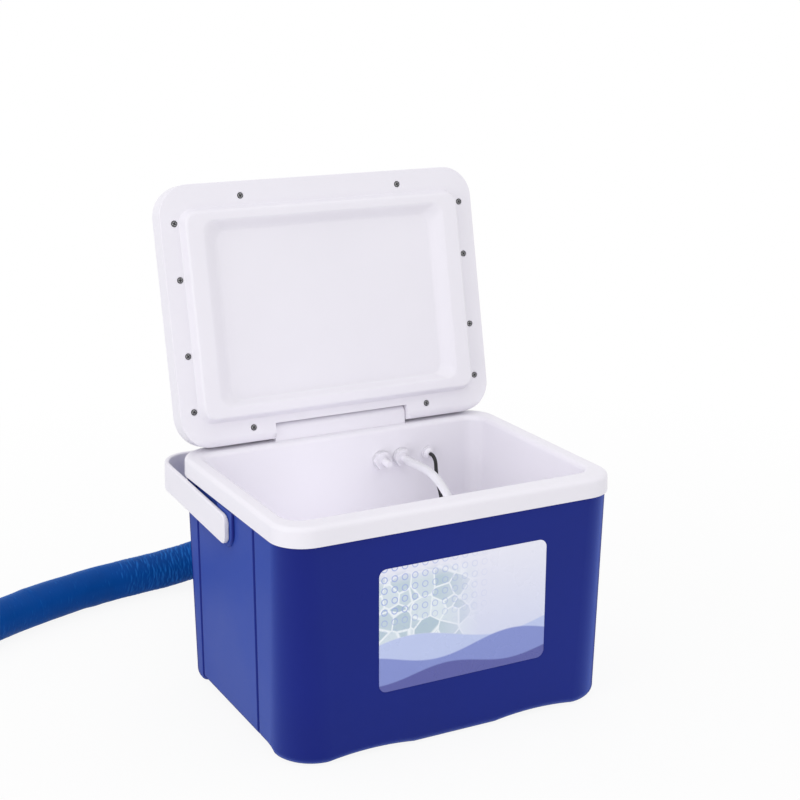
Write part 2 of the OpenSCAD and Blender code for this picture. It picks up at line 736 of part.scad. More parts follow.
module pump_feet() {
    color(dark) for (sx = [-1, 1], y = [pump_y - 8, volute_front + 8])
        translate([pump_x + sx * (pump_w / 2 - 9), y, tub_floor])
            cylinder(r1 = foot_pad_r, r2 = foot_pad_r - 2, h = foot_pad_h);
}

module pump_impeller() {
    hub_front = volute_front + 1.2;
    color(white) difference() {
        union() {
            rod_y(pump_x, axis_z, volute_front + chamber_l - 3, volute_front + chamber_l - 1, impeller_r);
            rod_y(pump_x, axis_z, hub_front, volute_front + chamber_l - 2, 3.4);
            for (k = [0:blades - 1]) translate([pump_x, hub_front, axis_z])
                rotate([0, 360 * k / blades, 0])
                    translate([2.8, 0, -0.6]) cube([impeller_r - 3, chamber_l - 3.6, 1.2]);
        }
        rod_y(pump_x, axis_z, volute_front - over, volute_front + chamber_l + over, shaft_r + run);
    }
}

module rotor_magnet() {
    color(grey) difference() {
        rod_y(pump_x, axis_z, volute_front + chamber_l - 1, volute_front + chamber_l + magnet_l,
            magnet_r);
        rod_y(pump_x, axis_z, volute_front, volute_front + chamber_l + magnet_l + over,
            shaft_r + run);
    }
}

module supply_tube() {
    color(white) difference() {
        tube(supply_path, tube_r, 12, [1, 0, 0]);
        translate([outlet_x, outlet_y, pump_z]) cylinder(r = 3.2 + fit, h = pump_h + outlet_h - 3 + clear);
        rod_y(supply_x, fitting_z, supply_end - clear, fitting_z, 3.9 + fit);
    }
}

// Hose and coupling

module hose_sleeve() {
    color(hose_blue) tube(sleeve_path, sleeve_r, 12);
}

// Frame of the coupling: X along the hose's last heading, origin at the sleeve's end
module at_hose_end() {
    translate([sleeve_end[0], sleeve_end[1], 0]) rotate([0, 0, end_heading]) children();
}

module hose_tails() {
    color(white) at_hose_end() for (s = [-1, 1]) difference() {
        tube(straight_ends([[0, s * tail_gap / 2, sleeve_r], [tube_r * 2, s * tail_gap / 2, sleeve_r],
            [tail_l * 0.5, s * (tail_gap + port_gap) / 4, sleeve_r - tail_drop / 2],
            [tail_l - tube_r * 2, s * port_gap / 2, coupling_t / 2],
            [tail_l, s * port_gap / 2, coupling_t / 2]], 3), tube_r, 12);
        translate([tail_l - barb_l, s * port_gap / 2, coupling_t / 2]) rotate([0, 90, 0])
            cylinder(r = barb_r + fit, h = barb_l + over);
    }
}

module coupling_body() {
    color(grey) at_hose_end() translate([tail_l, 0, coupling_t / 2]) difference() {
        union() {
            rotate([90, 0, 90]) linear_extrude(coupling_l) rounded(coupling_w, coupling_t, 7);
            for (s = [-1, 1]) translate([-barb_l + clear, s * port_gap / 2, 0]) rotate([0, 90, 0])
                cylinder(r = barb_r, h = barb_l);
        }
        for (s = [-1, 1]) translate([coupling_l, s * port_gap / 2, 0]) rotate([0, 90, 0]) {
            translate([0, 0, -port_depth]) cylinder(r = port_r, h = port_depth + over);
            translate([0, 0, -port_depth + 4]) cylinder(r = port_r + seal_t, h = seal_t * 1.2);
        }
        translate([button_x, 0, coupling_t / 2 - button_t])
            linear_extrude(button_t + over) square([button_l + 0.6, button_w + 0.6], center = true);
    }
}

module coupling_seals() {
    color(dark) at_hose_end() for (s = [-1, 1])
        translate([tail_l + coupling_l - port_depth + 4 + seal_t * 0.6, s * port_gap / 2, coupling_t / 2])
            rotate([0, 90, 0]) rotate_extrude() translate([port_r + seal_t / 2 + 0.1, 0])
                circle(seal_t / 2 - 0.1);
}

module coupling_button() {
    color(dark) at_hose_end() translate([tail_l + button_x, 0, coupling_t - button_t + button_travel])
        linear_extrude(button_t - button_travel + button_proud) rounded(button_l, button_w, 2.5);
}

// Lid

module lid_notch(extra = 0) {
    translate([-notch_w / 2 - extra, notch_front - extra, seat_z - plug_depth])
        cube([notch_w + 2 * extra, lid_d, lid_h + plug_depth + lid_crown + over]);
}

// What is cut off the lid's lower rear edge, all along the hinge
module lid_heel() {
    difference() {
        translate([-case_w / 2, hinge_y, seat_z - over]) cube([case_w, lid_d, heel_r + over]);
        rod_x(-case_w / 2 - over, case_w / 2 + over, hinge_y, hinge_z, heel_r);
    }
}

module lid_inside() {
    block(lid_w - 2 * lid_wall, lid_d - 2 * lid_wall, lid_r - lid_wall, shell_above - over,
        lid_w - 2 * lid_wall, lid_d - 2 * lid_wall, lid_r - lid_wall, seat_z + lid_h - lid_wall,
        round1 = lid_round - lid_wall, steps = 3);
}

module lid_bosses() {
    for (p = screw_spots) translate([p[0], p[1], shell_above])
        cylinder(r = boss_r, h = lid_h - flange_t - lid_wall + 0.5);
}

module lid_ears() {
    for (sx = [-1, 1]) translate([sx * (notch_w + ear_w) / 2, (notch_front + lid_d / 2) / 2,
        seat_z + lid_h / 2]) cube([ear_w, lid_d / 2 - notch_front, lid_h], center = true);
}

module lid_form() {
    hull() {
        for (i = [0:5]) {
            in = lid_round * (1 - cos(18 * i));
            slab(lid_w - 2 * in, lid_d - 2 * in, lid_r - in, seat_z + lid_h
                - lid_round * (1 - sin(18 * i)), $fn = hull_fn);
        }
        slab(lid_w, lid_d, lid_r, shell_above, $fn = hull_fn);
        slab(lid_w - 2 * crown_in, lid_d - 2 * crown_in, crown_r, seat_z + lid_h + lid_crown, $fn = hull_fn);
    }
}

module lid_outer() {
    color(white) lid_swing() difference() {
        lid_form();
        difference() {
            lid_inside();
            lid_notch(lid_wall);
            lid_ears();
            lid_bosses();
        }
        lid_notch();
        lid_heel();
        for (sx = [-1, 1]) rod_x(sx > 0 ? notch_w / 2 - over : -notch_w / 2 - pin_reach - 1,
            sx > 0 ? notch_w / 2 + pin_reach + 1 : -notch_w / 2 + over, hinge_y, hinge_z, pin_r + run);
        for (p = screw_spots) translate([p[0], p[1], seat_z])
            cylinder(r = screw_r + fit, h = screw_l + 1);
    }
}

module lid_foam() {
    foam_w = plug_w + 2 * (screw_out - boss_r - clear);
    foam_d = plug_d + 2 * (end_screw_out - boss_r - clear);
    color([0.95, 0.9, 0.7]) lid_swing()
        block(foam_w, foam_d, plug_r, shell_above + clear, foam_w - 2, foam_d - 2, plug_r - 1,
            seat_z + lid_h - lid_wall - clear, round1 = lid_round - lid_wall, steps = 3);
}

// The recess's form grown by t, from its mouth at z0 to its floor at z1
module pan_form(t, z0, z1) {
    mouth_w = plug_w - 2 * ring_x;
    mouth_d = plug_d - ring_front - ring_rear;
    corner = 12;
    hull() {
        translate([0, (ring_front - ring_rear) / 2, 0])
            slab(mouth_w + 2 * t, mouth_d + 2 * t, corner + t, z0, $fn = hull_fn);
        translate([0, (ring_front + lean_front - ring_rear - lean_rear) / 2, 0])
            slab(mouth_w - 2 * recess_lean_x + 2 * t, mouth_d - lean_front - lean_rear + 2 * t,
                corner + t, z1 - slice, $fn = hull_fn);
    }
}

module lid_panel() {
    face_z = seat_z - plug_depth;
    pan_top = face_z + recess_depth;
    color(white) lid_swing() difference() {
        union() {
            difference() {
                union() {
                    translate([0, 0, seat_z]) linear_extrude(flange_t) rounded(lid_w, lid_d, lid_r);
                    block(plug_w - 2 * plug_lean, plug_d - 2 * plug_lean, plug_r, face_z, plug_w,
                        plug_d, plug_r, seat_z + slice, round0 = 3, steps = 3);
                }
                // hollow of the raised ring
                block(plug_w - 2 * (plug_lean + panel_skin), plug_d - 2 * (plug_lean + panel_skin),
                    plug_r - panel_skin, face_z + panel_skin, plug_w - 2 * panel_skin,
                    plug_d - 2 * panel_skin, plug_r - panel_skin, seat_z + flange_t + over,
                    steps = 1);
            }
            pan_form(panel_skin, face_z + 1, pan_top + panel_skin);
        }
        pan_form(0, face_z - over, pan_top);
        lid_notch();
        lid_heel();
        for (p = screw_spots) translate([p[0], p[1], seat_z - 1])
            cylinder(r = screw_r + fit, h = flange_t + 2);
        for (p = screw_spots) translate([p[0], p[1], seat_z - 1])
            cylinder(r = screw_head_r + fit, h = 1 + screw_sunk + screw_head_h);
    }
}

module lid_screws() {
    color(grey) lid_swing() for (p = screw_spots) translate([p[0], p[1], seat_z]) difference() {
        union() {
            cylinder(r = screw_r, h = screw_l);
            translate([0, 0, screw_sunk]) cylinder(r1 = screw_head_r - 0.7, r2 = screw_head_r,
                h = screw_head_h);
        }
        for (a = [0, 90]) rotate([0, 0, a]) translate([0, 0, screw_sunk])
            cube([screw_head_r * 1.1, 0.8, 1.6], center = true);
    }
}

// Handle

module carry_handle() {
    end_r = 9; // rounding of the strap's ends
    end_past = 15; // strap past the pivot
    out_l = handle_reach + end_past;
    color(white) handle_swing() {
        intersection() {
            translate([0, (handle_reach - end_past) / 2, -strap_w / 2]) linear_extrude(strap_w)
                difference() {
                    union() {
                        rounded(2 * strap_out, out_l, strap_bend_r);
                        translate([0, -out_l / 4]) square([2 * strap_out, out_l / 2], center = true);
                    }
                    translate([0, -strap_t]) rounded(2 * strap_in, out_l, strap_bend_r - strap_t);
                    translate([0, -out_l / 2]) square([2 * strap_in, out_l], center = true);
                }
            translate([-case_w, (handle_reach - end_past) / 2, 0]) rotate([90, 0, 90])
                linear_extrude(2 * case_w) {
                    rounded(out_l, strap_w, end_r);
                    translate([out_l / 4, 0]) square([out_l / 2, strap_w], center = true);
                }
        }
        for (sx = [-1, 1])
            rod_x(sx > 0 ? strap_in - stub_l : -strap_in - strap_t / 2,
                sx > 0 ? strap_in + strap_t / 2 : -strap_in + stub_l, 0, 0, stub_r);
    }
}

// Length of the hose sleeve, its least gap to itself and the length of the pump's lead
function far_pairs(p, skip) = [for (i = [0:len(p) - 1], j = [i + skip:1:len(p) - 1]) norm(p[i] - p[j])];
echo(sleeve_length = path_length(sleeve_path), lead_length = path_length(lead_path));
echo(sleeve_gap_to_itself = min(far_pairs(sleeve_path, 6)) - sleeve_d);
echo(sleeve_end = sleeve_end, end_heading = end_heading, hose_start = hose_start);

outer_shell();
wall_foam();
inner_liner();
front_label();
hinge_pins();
hose_collar();
wall_tubes();
bulkhead_fittings();
fitting_washers();
fitting_nuts();
lead_gland();
lead_gland_nut();
dc_inlet();
dc_inlet_nut();
inlet_wires();
pump_lead();
pump_housing();
pump_strainer();
pump_shaft();
pump_feet();
supply_tube();
hose_sleeve();
hose_tails();
coupling_body();
coupling_seals();
lid_outer();
lid_foam();
lid_panel();
lid_screws();
carry_handle();
pump_impeller();
rotor_magnet();
coupling_button();
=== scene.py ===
import json
import math

import bmesh
import bpy
import numpy as np
from mathutils import Matrix, Vector


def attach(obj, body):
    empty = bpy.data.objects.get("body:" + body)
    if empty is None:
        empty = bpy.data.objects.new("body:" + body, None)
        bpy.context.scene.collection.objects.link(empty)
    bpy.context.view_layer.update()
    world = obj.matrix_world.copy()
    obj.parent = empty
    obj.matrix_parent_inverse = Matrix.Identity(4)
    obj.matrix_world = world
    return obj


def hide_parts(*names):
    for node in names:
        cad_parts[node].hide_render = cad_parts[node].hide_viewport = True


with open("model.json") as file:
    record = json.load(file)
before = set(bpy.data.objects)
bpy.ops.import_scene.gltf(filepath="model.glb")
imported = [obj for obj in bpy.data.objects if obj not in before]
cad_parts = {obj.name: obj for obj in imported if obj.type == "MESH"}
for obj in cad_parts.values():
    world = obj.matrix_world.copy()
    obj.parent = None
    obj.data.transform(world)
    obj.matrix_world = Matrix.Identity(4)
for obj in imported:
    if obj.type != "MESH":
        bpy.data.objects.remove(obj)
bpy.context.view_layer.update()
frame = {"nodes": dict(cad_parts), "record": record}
MM = 0.001

# ---------------------------------------------------------------- sizes in mm, as in the part's source
CLEAR = 0.3  # gap between pieces that only lie next to each other
CASE_W, CASE_D, CORNER_R = 360.0, 275.0, 34.0
SHELL_H, RIM_H = 218.0, 19.4
RIM_TOP = SHELL_H + RIM_H
OVERHANG, RIM_DRAFT, RIM_PLATE = 2.1, 0.4, 2.6
SHELL_W, SHELL_D, SHELL_R = CASE_W - 2 * OVERHANG, CASE_D - 2 * OVERHANG, CORNER_R - OVERHANG
SHELL_TOP = RIM_TOP - RIM_PLATE - CLEAR
SHELL_DRAFT, FOOT_R, FOOT_ROUND, SHELL_WALL = 1.1, 43.0, 12.0, 2.5
DRAFT_ANGLE = math.atan(SHELL_DRAFT / (SHELL_TOP - FOOT_ROUND))
ARCH_W, ARCH_X, STRIP_H, SIDE_STEP = 90.0, 90.0, 5.0, 55.0
PANEL_YS = (-62.0, 82.0)
SIDE_RIM, END_RIM = 18.0, 26.5
TUB_W, TUB_D, TUB_R, TUB_FLOOR = CASE_W - 2 * SIDE_RIM, CASE_D - 2 * END_RIM, 18.0, 24.0
TUB_WALL, TUB_DRAFT, TUB_FLOOR_R, RIM_ROUND, MOUTH_ROUND = 2.5, 4.0, 12.0, 5.0, 6.0
HINGE_IN, HINGE_RISE = 12.9, 11.3  # hinge axis in from the rim's rear edge, and above the rim's top
HINGE_Y, HINGE_Z = CASE_D / 2 - HINGE_IN, RIM_TOP + HINGE_RISE
BARREL_R, BLOCK_W = 7.0, 152.0
LID_OPEN = 101.9
SEAT_GAP, END_GAP, NOTCH_GAP = 0.5, 0.6, 0.5  # from lid to rim, to the hinge block's ends and to its barrel
SEAT_Z = RIM_TOP + SEAT_GAP
HEEL_R = HINGE_Z - SEAT_Z
LID_W, LID_D, LID_R = CASE_W - 3.0, CASE_D - 8.0, CORNER_R - 1.5
LID_H, LID_ROUND, LID_CROWN, CROWN_IN, FLANGE_T = 28.0, 7.0, 2.0, 36.0, 3.0
NOTCH_X, NOTCH_Y = BLOCK_W / 2 + END_GAP, HINGE_Y - BARREL_R - NOTCH_GAP
PLUG_GAP_X, PLUG_GAP_Y = 3.5, 2.5
PLUG_W, PLUG_D, PLUG_R = TUB_W - 2 * PLUG_GAP_X, TUB_D - 2 * PLUG_GAP_Y, TUB_R - PLUG_GAP_Y
PLUG_DEPTH, PLUG_LEAN = 10.0, 4.0
RING_X, RING_FRONT, RING_REAR, RECESS_DEPTH = 20.5, 12.0, 13.5, 9.0
LEAN_X, LEAN_FRONT, LEAN_REAR, RECESS_R = 17.0, 12.5, 7.5, 12.0
SCREW_SIDE_IN, SCREW_SIDE_Y, SCREW_FRONT_X, SCREW_REAR_X = 13.5, 38.4, 90, 101
SCREW_SIDE_YS = (SCREW_SIDE_IN - PLUG_D / 2, -SCREW_SIDE_Y, SCREW_SIDE_Y, PLUG_D / 2 - SCREW_SIDE_IN)
SCREW_PAST_SIDE, SCREW_PAST_END = 5, 10
PIVOT_Y, PIVOT_DROP, STRAP_GAP = 3.0, 19.5, 0.6
PIVOT_Z, STRAP_IN = SHELL_H - PIVOT_DROP, CASE_W / 2 + STRAP_GAP
STRAP_T, STRAP_W, STRAP_BEND, STRAP_REACH = 4.6, 30.0, 30.0, 177.0
STRAP_TILT, STUB_R, STUB_L = 2.5, 6.0, 12.0
LABEL_W, LABEL_H, LABEL_Z, LABEL_X, LABEL_T = 181.0, 123.0, 123.0, 5.6, 0.6
HOSE_X, HOSE_Z, SLEEVE_D = 55.0, 115.0, 44.0
SLEEVE_R = SLEEVE_D / 2
WATER_TUBE_D, LEAD_D = 9.0, 4.0

# forms fitted to the photograph, each in place of the source's plainer one
FOOT_SOFT, ARCH_H = 9.0, 3.4
GROOVE_W, GROOVE_DEPTH = 5.6, 1.5
STRIP_FRONT, STRIP_REAR = (-36, -24), (-2, 8)  # where a strip rises and ends, from the grooves
PAD_R, STRAP_PAST = 19.5, 12.0
HEAD_R, BORE_R = 2.95, 3.4
CLOTH_R = SLEEVE_R - 0.3  # leaves room for the folds that stand out

# ---------------------------------------------------------------- camera, at the photograph's angle
FOCAL_PX, IMAGE_PX = 1623.73, 800
cam_data = bpy.data.cameras.new("camera")
SENSOR_MM = 36
cam_data.sensor_width = SENSOR_MM
cam_data.lens = FOCAL_PX / IMAGE_PX * SENSOR_MM
cam_data.clip_start, cam_data.clip_end = 0.05, 50
cam = bpy.data.objects.new("camera", cam_data)
bpy.context.scene.collection.objects.link(cam)
ahead = Vector((0.44934665, 0.85210067, -0.26835059))
right = Vector((0.8848015, -0.46596388, 0.00199165))
up = Vector((0.1233446, 0.23833195, 0.96331926))
CAMERA_AT = (-0.714454, -1.369259, 0.731994)
cam.matrix_world = Matrix.Translation(CAMERA_AT) @ Matrix((right, up, -ahead)).transposed().to_4x4()
bpy.context.scene.camera = cam
bpy.context.scene.view_settings.view_transform = "Standard"


# ---------------------------------------------------------------- node helpers
def shader(name):
    m = bpy.data.materials.new(name)
    m.use_nodes = True
    t = m.node_tree
    t.nodes.clear()
    out = t.nodes.new("ShaderNodeOutputMaterial")
    b = t.nodes.new("ShaderNodeBsdfPrincipled")
    t.links.new(b.outputs[0], out.inputs[0])
    return m, t, b


def feed(t, socket, value):
    if isinstance(value, bpy.types.NodeSocket):
        t.links.new(value, socket)
    elif value is not None:
        socket.default_value = value


def math_node(t, op, a, b=None, c=None, clamp=False):
    n = t.nodes.new("ShaderNodeMath")
    n.operation, n.use_clamp = op, clamp
    for socket, value in zip(n.inputs, (a, b, c)):
        feed(t, socket, value)
    return n.outputs[0]


def coords(t, scale=(1, 1, 1)):
    tc = t.nodes.new("ShaderNodeTexCoord")
    mp = t.nodes.new("ShaderNodeMapping")
    mp.inputs["Scale"].default_value = scale
    t.links.new(tc.outputs["Object"], mp.inputs["Vector"])
    return mp.outputs[0]


def noise(t, vec, scale, detail=3.0, rough=0.5):
    n = t.nodes.new("ShaderNodeTexNoise")
    feed(t, n.inputs["Vector"], vec)
    n.inputs["Scale"].default_value = scale
    n.inputs["Detail"].default_value = detail
    n.inputs["Roughness"].default_value = rough
    return n.outputs[0]


def remap(t, value, lo, hi, to_lo, to_hi):
    n = t.nodes.new("ShaderNodeMapRange")
    for socket, v in zip(n.inputs, (value, lo, hi, to_lo, to_hi)):
        feed(t, socket, v)
    return n.outputs[0]


def mix_colour(t, fac, a, b):
    n = t.nodes.new("ShaderNodeMix")
    n.data_type = "RGBA"
    feed(t, n.inputs[0], fac)
    feed(t, n.inputs[6], a)
    feed(t, n.inputs[7], b)
    return n.outputs[2]


def bump(t, height, strength, distance, after=None):
    n = t.nodes.new("ShaderNodeBump")
    n.inputs["Strength"].default_value = strength
    n.inputs["Distance"].default_value = distance
    feed(t, n.inputs["Height"], height)
    if after is not None:
        t.links.new(after, n.inputs["Normal"])
    return n.outputs[0]


def rgba(c, k=1.0):
    return (min(1, c[0] * k), min(1, c[1] * k), min(1, c[2] * k), 1)


TURNING_AWAY = (0.66, 0.90)  # facing values between which the sheen and gloss fade out


def plastic(name, colour, rough, grain=900.0, grain_depth=0.00002, vary=0.05, wave=0.0001, scuff=0.06,
            gloss=0.5, sheen=None):
    """Moulded plastic: fine grain, slow flow waves, patchy gloss and light scuffs."""
    m, t, b = shader(name)
    v = coords(t)
    patch = noise(t, v, 9, 4)
    tone = mix_colour(t, remap(t, patch, 0.3, 0.7, 0, 1), rgba(colour, 1 - vary), rgba(colour, 1 + vary))
    feed(t, b.inputs["Base Color"], tone)
    marks = noise(t, coords(t, (1, 1, 7)), 60, 8, 0.7)
    worn = remap(t, marks, 0.58, 0.72, 0, 1)
    r = remap(t, patch, 0.3, 0.7, rough - 0.04, rough + 0.05)
    feed(t, b.inputs["Roughness"], math_node(t, "MULTIPLY_ADD", worn, scuff, r, True))
    n = bump(t, noise(t, v, 14, 2), 0.5, wave)
    feed(t, b.inputs["Normal"], bump(t, noise(t, v, grain, 2, 0.6), 0.6, grain_depth, n))
    b.inputs["IOR"].default_value = 1.49
    b.inputs["Specular IOR Level"].default_value = gloss
    if sheen:
        # both fade out where the surface turns away, which leaves the part's outline dark
        layer = t.nodes.new("ShaderNodeLayerWeight")
        layer.inputs["Blend"].default_value = 0.5
        facing = layer.outputs["Facing"]
        feed(t, b.inputs["Specular IOR Level"], remap(t, facing, *TURNING_AWAY, gloss, 0.0))
        feed(t, b.inputs["Sheen Weight"], remap(t, facing, *TURNING_AWAY, 1.0, 0.0))
        b.inputs["Sheen Roughness"].default_value = 0.5
        b.inputs["Sheen Tint"].default_value = rgba(sheen)
    return m


def rubber(name, colour, rough=0.62, grain=1400.0):
    m, t, b = shader(name)
    v = coords(t)
    patch = noise(t, v, 25, 5)
    feed(t, b.inputs["Base Color"], mix_colour(t, patch, rgba(colour, 0.75), rgba(colour, 1.4)))
    feed(t, b.inputs["Roughness"], remap(t, patch, 0.3, 0.7, rough - 0.08, rough + 0.1))
    feed(t, b.inputs["Normal"], bump(t, noise(t, v, grain, 4, 0.65), 0.6, 0.00004))
    b.inputs["IOR"].default_value = 1.5
    return m


def metal(name, colour, rough=0.32, stretch=(1, 30, 30)):
    m, t, b = shader(name)
    brushed = noise(t, coords(t, stretch), 80, 6, 0.7)
    feed(t, b.inputs["Base Color"], mix_colour(t, brushed, rgba(colour, 0.82), rgba(colour, 1.1)))
    feed(t, b.inputs["Roughness"], remap(t, brushed, 0.3, 0.7, rough - 0.08, rough + 0.1))
    feed(t, b.inputs["Normal"], bump(t, brushed, 0.3, 0.00003))
    b.inputs["Metallic"].default_value = 1.0
    return m


def screw_face(name, colour):
    """Zinc-plated steel, with shade painted dark round the head's edge and in its cross recess."""
    m, t, b = shader(name)
    at = t.nodes.new("ShaderNodeAttribute")
    at.attribute_name = "unshaded"
    mottled = noise(t, coords(t), 900, 4, 0.6)
    c = mix_colour(t, mottled, rgba(colour, 0.8), rgba(colour, 1.15))
    # painted shade: colour darkened and metal dulled round the head's edge and in its cross recess
    feed(t, b.inputs["Base Color"], mix_colour(t, at.outputs["Fac"], rgba(colour, 0.12), c))
    feed(t, b.inputs["Roughness"], remap(t, mottled, 0.3, 0.7, 0.36, 0.5))
    feed(t, b.inputs["Normal"], bump(t, mottled, 0.3, 0.00003))
    feed(t, b.inputs["Metallic"], remap(t, at.outputs["Fac"], 0, 1, 0.3, 1))
    return m


def clear_vinyl(name, colour):
    m, t, b = shader(name)
    v = coords(t)
    haze = noise(t, v, 40, 4)
    feed(t, b.inputs["Base Color"], mix_colour(t, haze, rgba(colour, 0.94), rgba(colour, 1.05)))
    feed(t, b.inputs["Roughness"], remap(t, haze, 0.3, 0.7, 0.30, 0.42))
    feed(t, b.inputs["Normal"], bump(t, noise(t, v, 600, 2), 0.2, 0.00001))
    b.inputs["Transmission Weight"].default_value = 0.12
    b.inputs["IOR"].default_value = 1.45
    return m


def foam(name, colour):
    m, t, b = shader(name)
    v = coords(t)
    cell = t.nodes.new("ShaderNodeTexVoronoi")
    feed(t, cell.inputs["Vector"], v)
    cell.inputs["Scale"].default_value = 600
    feed(t, b.inputs["Base Color"], mix_colour(t, cell.outputs[0], rgba(colour, 0.85), rgba(colour, 1.05)))
    b.inputs["Roughness"].default_value = 0.9
    feed(t, b.inputs["Normal"], bump(t, cell.outputs[0], 0.7, 0.0004))
    return m


def leatherette(name, colour):
    """Coated fabric of the padded sleeve: pebbled grain and fine creases running round it, with highlight
    painted on the creases' crests and shade painted in their troughs.
    """
    m, t, b = shader(name)
    at = t.nodes.new("ShaderNodeAttribute")
    at.attribute_name = "on_sleeve"
    mp = t.nodes.new("ShaderNodeMapping")
    mp.inputs["Scale"].default_value = (1, 0.22, 0.22)
    t.links.new(at.outputs["Vector"], mp.inputs["Vector"])
    cell = t.nodes.new("ShaderNodeTexVoronoi")
    feed(t, cell.inputs["Vector"], at.outputs["Vector"])
    cell.inputs["Scale"].default_value = 800
    fine = noise(t, mp.outputs[0], 330, 4, 0.6)
    patch = noise(t, at.outputs["Vector"], 14, 4, 0.6)
    crest = t.nodes.new("ShaderNodeAttribute")
    crest.attribute_name = "crest"
    # crest is the creases' relief: painted highlight where it stands out, painted shade where it sinks in
    high = remap(t, crest.outputs["Fac"], 0.03, 0.25, 0, 1)
    crease_shade = remap(t, crest.outputs["Fac"], -0.04, -0.25, 0, 1)
    c = mix_colour(t, remap(t, patch, 0.3, 0.7, 0, 1), rgba(colour, 0.9), rgba(colour, 1.12))
    # painted shade: crease troughs darkened
    c = mix_colour(t, math_node(t, "MULTIPLY", crease_shade, 0.35), c, rgba(colour, 0.4))
    # painted highlight: crease crests lightened towards a brighter cyan
    lit = (colour[0] + 0.02, colour[1] * 3.4, colour[2] * 2.3, 1)
    c = mix_colour(t, math_node(t, "MULTIPLY", high, 0.55), c, lit)
    feed(t, b.inputs["Base Color"], c)
    feed(t, b.inputs["Roughness"], remap(t, patch, 0.3, 0.7, 0.42, 0.54))
    n = bump(t, remap(t, fine, 0.30, 0.75, 0, 1), 0.5, 0.0003)
    feed(t, b.inputs["Normal"], bump(t, cell.outputs[0], 0.35, 0.00010, n))
    b.inputs["Specular IOR Level"].default_value = 0.06
    b.inputs["Sheen Weight"].default_value = 0.4
    b.inputs["Sheen Roughness"].default_value = 0.35
    b.inputs["Sheen Tint"].default_value = (0, 0.35, 1, 1)
    return m


def label_print(name):
    """Glossy film with a plain design of its own: three waves, frosted facets and a field of small rings."""
    m, t, b = shader(name)
    tc = t.nodes.new("ShaderNodeTexCoord")
    sep = t.nodes.new("ShaderNodeSeparateXYZ")
    t.links.new(tc.outputs["Object"], sep.inputs[0])
    u = remap(t, sep.outputs[0], (LABEL_X - LABEL_W / 2) * MM, (LABEL_X + LABEL_W / 2) * MM, 0, 1)
    v = remap(t, sep.outputs[2], (LABEL_Z - LABEL_H / 2) * MM, (LABEL_Z + LABEL_H / 2) * MM, 0, 1)

    def below(level, swing, turns, shift, soft=0.006):
        s = math_node(t, "SINE", math_node(t, "MULTIPLY_ADD", u, turns * 2 * math.pi, shift))
        edge = math_node(t, "MULTIPLY_ADD", s, swing, level)
        return remap(t, math_node(t, "SUBTRACT", edge, v), -soft, soft, 0, 1)

    back_wave = (0.36, 0.07, 0.9, 0.6)
    base = mix_colour(t, v, (0.62, 0.66, 0.86, 1), (0.80, 0.80, 0.90, 1))
    c = mix_colour(t, below(*back_wave), base, (0.50, 0.57, 0.84, 1))
    c = mix_colour(t, below(0.25, 0.06, 1.1, 2.4), c, (0.22, 0.27, 0.62, 1))
    c = mix_colour(t, below(0.10, 0.04, 1.3, 4.6), c, (0.085, 0.095, 0.36, 1))
    # frosted facets in the left part, and rings over them, both fading towards the right
    uv = t.nodes.new("ShaderNodeCombineXYZ")
    feed(t, uv.inputs[0], math_node(t, "MULTIPLY", u, 1.47))  # about the label's width over its height
    feed(t, uv.inputs[1], v)
    cracks = []
    for feature in ("F1", "DISTANCE_TO_EDGE"):
        vor = t.nodes.new("ShaderNodeTexVoronoi")
        vor.feature = feature
        vor.inputs["Scale"].default_value = 7.5
        t.links.new(uv.outputs[0], vor.inputs["Vector"])
        cracks.append(vor)
    tone = t.nodes.new("ShaderNodeSeparateColor")
    t.links.new(cracks[0].outputs["Color"], tone.inputs[0])
    facet = mix_colour(t, tone.outputs[0], (0.36, 0.50, 0.58, 1), (0.74, 0.82, 0.86, 1))
    seam = remap(t, cracks[1].outputs["Distance"], 0.015, 0.07, 1, 0)
    facet = mix_colour(t, seam, facet, (0.88, 0.93, 0.95, 1))
    frost = math_node(t, "MULTIPLY", remap(t, u, 0.36, 0.60, 0.85, 0), remap(t, v, 0.86, 0.97, 1, 0))
    above = math_node(t, "SUBTRACT", 1.0, below(*back_wave))
    c = mix_colour(t, math_node(t, "MULTIPLY", frost, above), c, facet)
    cells = t.nodes.new("ShaderNodeCombineXYZ")
    for i, (socket, count) in enumerate(((u, 17.0), (v, 11.5))):
        part = math_node(t, "FRACT", math_node(t, "MULTIPLY", socket, count))
        t.links.new(math_node(t, "SUBTRACT", part, 0.5), cells.inputs[i])
    length = t.nodes.new("ShaderNodeVectorMath")
    length.operation = "LENGTH"
    t.links.new(cells.outputs[0], length.inputs[0])
    ring = math_node(t, "ABSOLUTE", math_node(t, "SUBTRACT", length.outputs["Value"], 0.27))
    ring = remap(t, ring, 0.03, 0.07, 1, 0)
    where = math_node(t, "MULTIPLY", remap(t, u, 0.10, 0.70, 0.8, 0), remap(t, v, 0.46, 0.62, 0, 1))
    c = mix_colour(t, math_node(t, "MULTIPLY", ring, where), c, (0.30, 0.38, 0.74, 1))
    feed(t, b.inputs["Base Color"], c)
    vec = coords(t)
    feed(t, b.inputs["Roughness"], remap(t, noise(t, vec, 30, 4), 0.3, 0.7, 0.24, 0.34))
    feed(t, b.inputs["Normal"], bump(t, noise(t, vec, 22, 2), 0.3, 0.00012))
    b.inputs["Coat Weight"].default_value = 0.25
    b.inputs["Coat Roughness"].default_value = 0.15
    return m


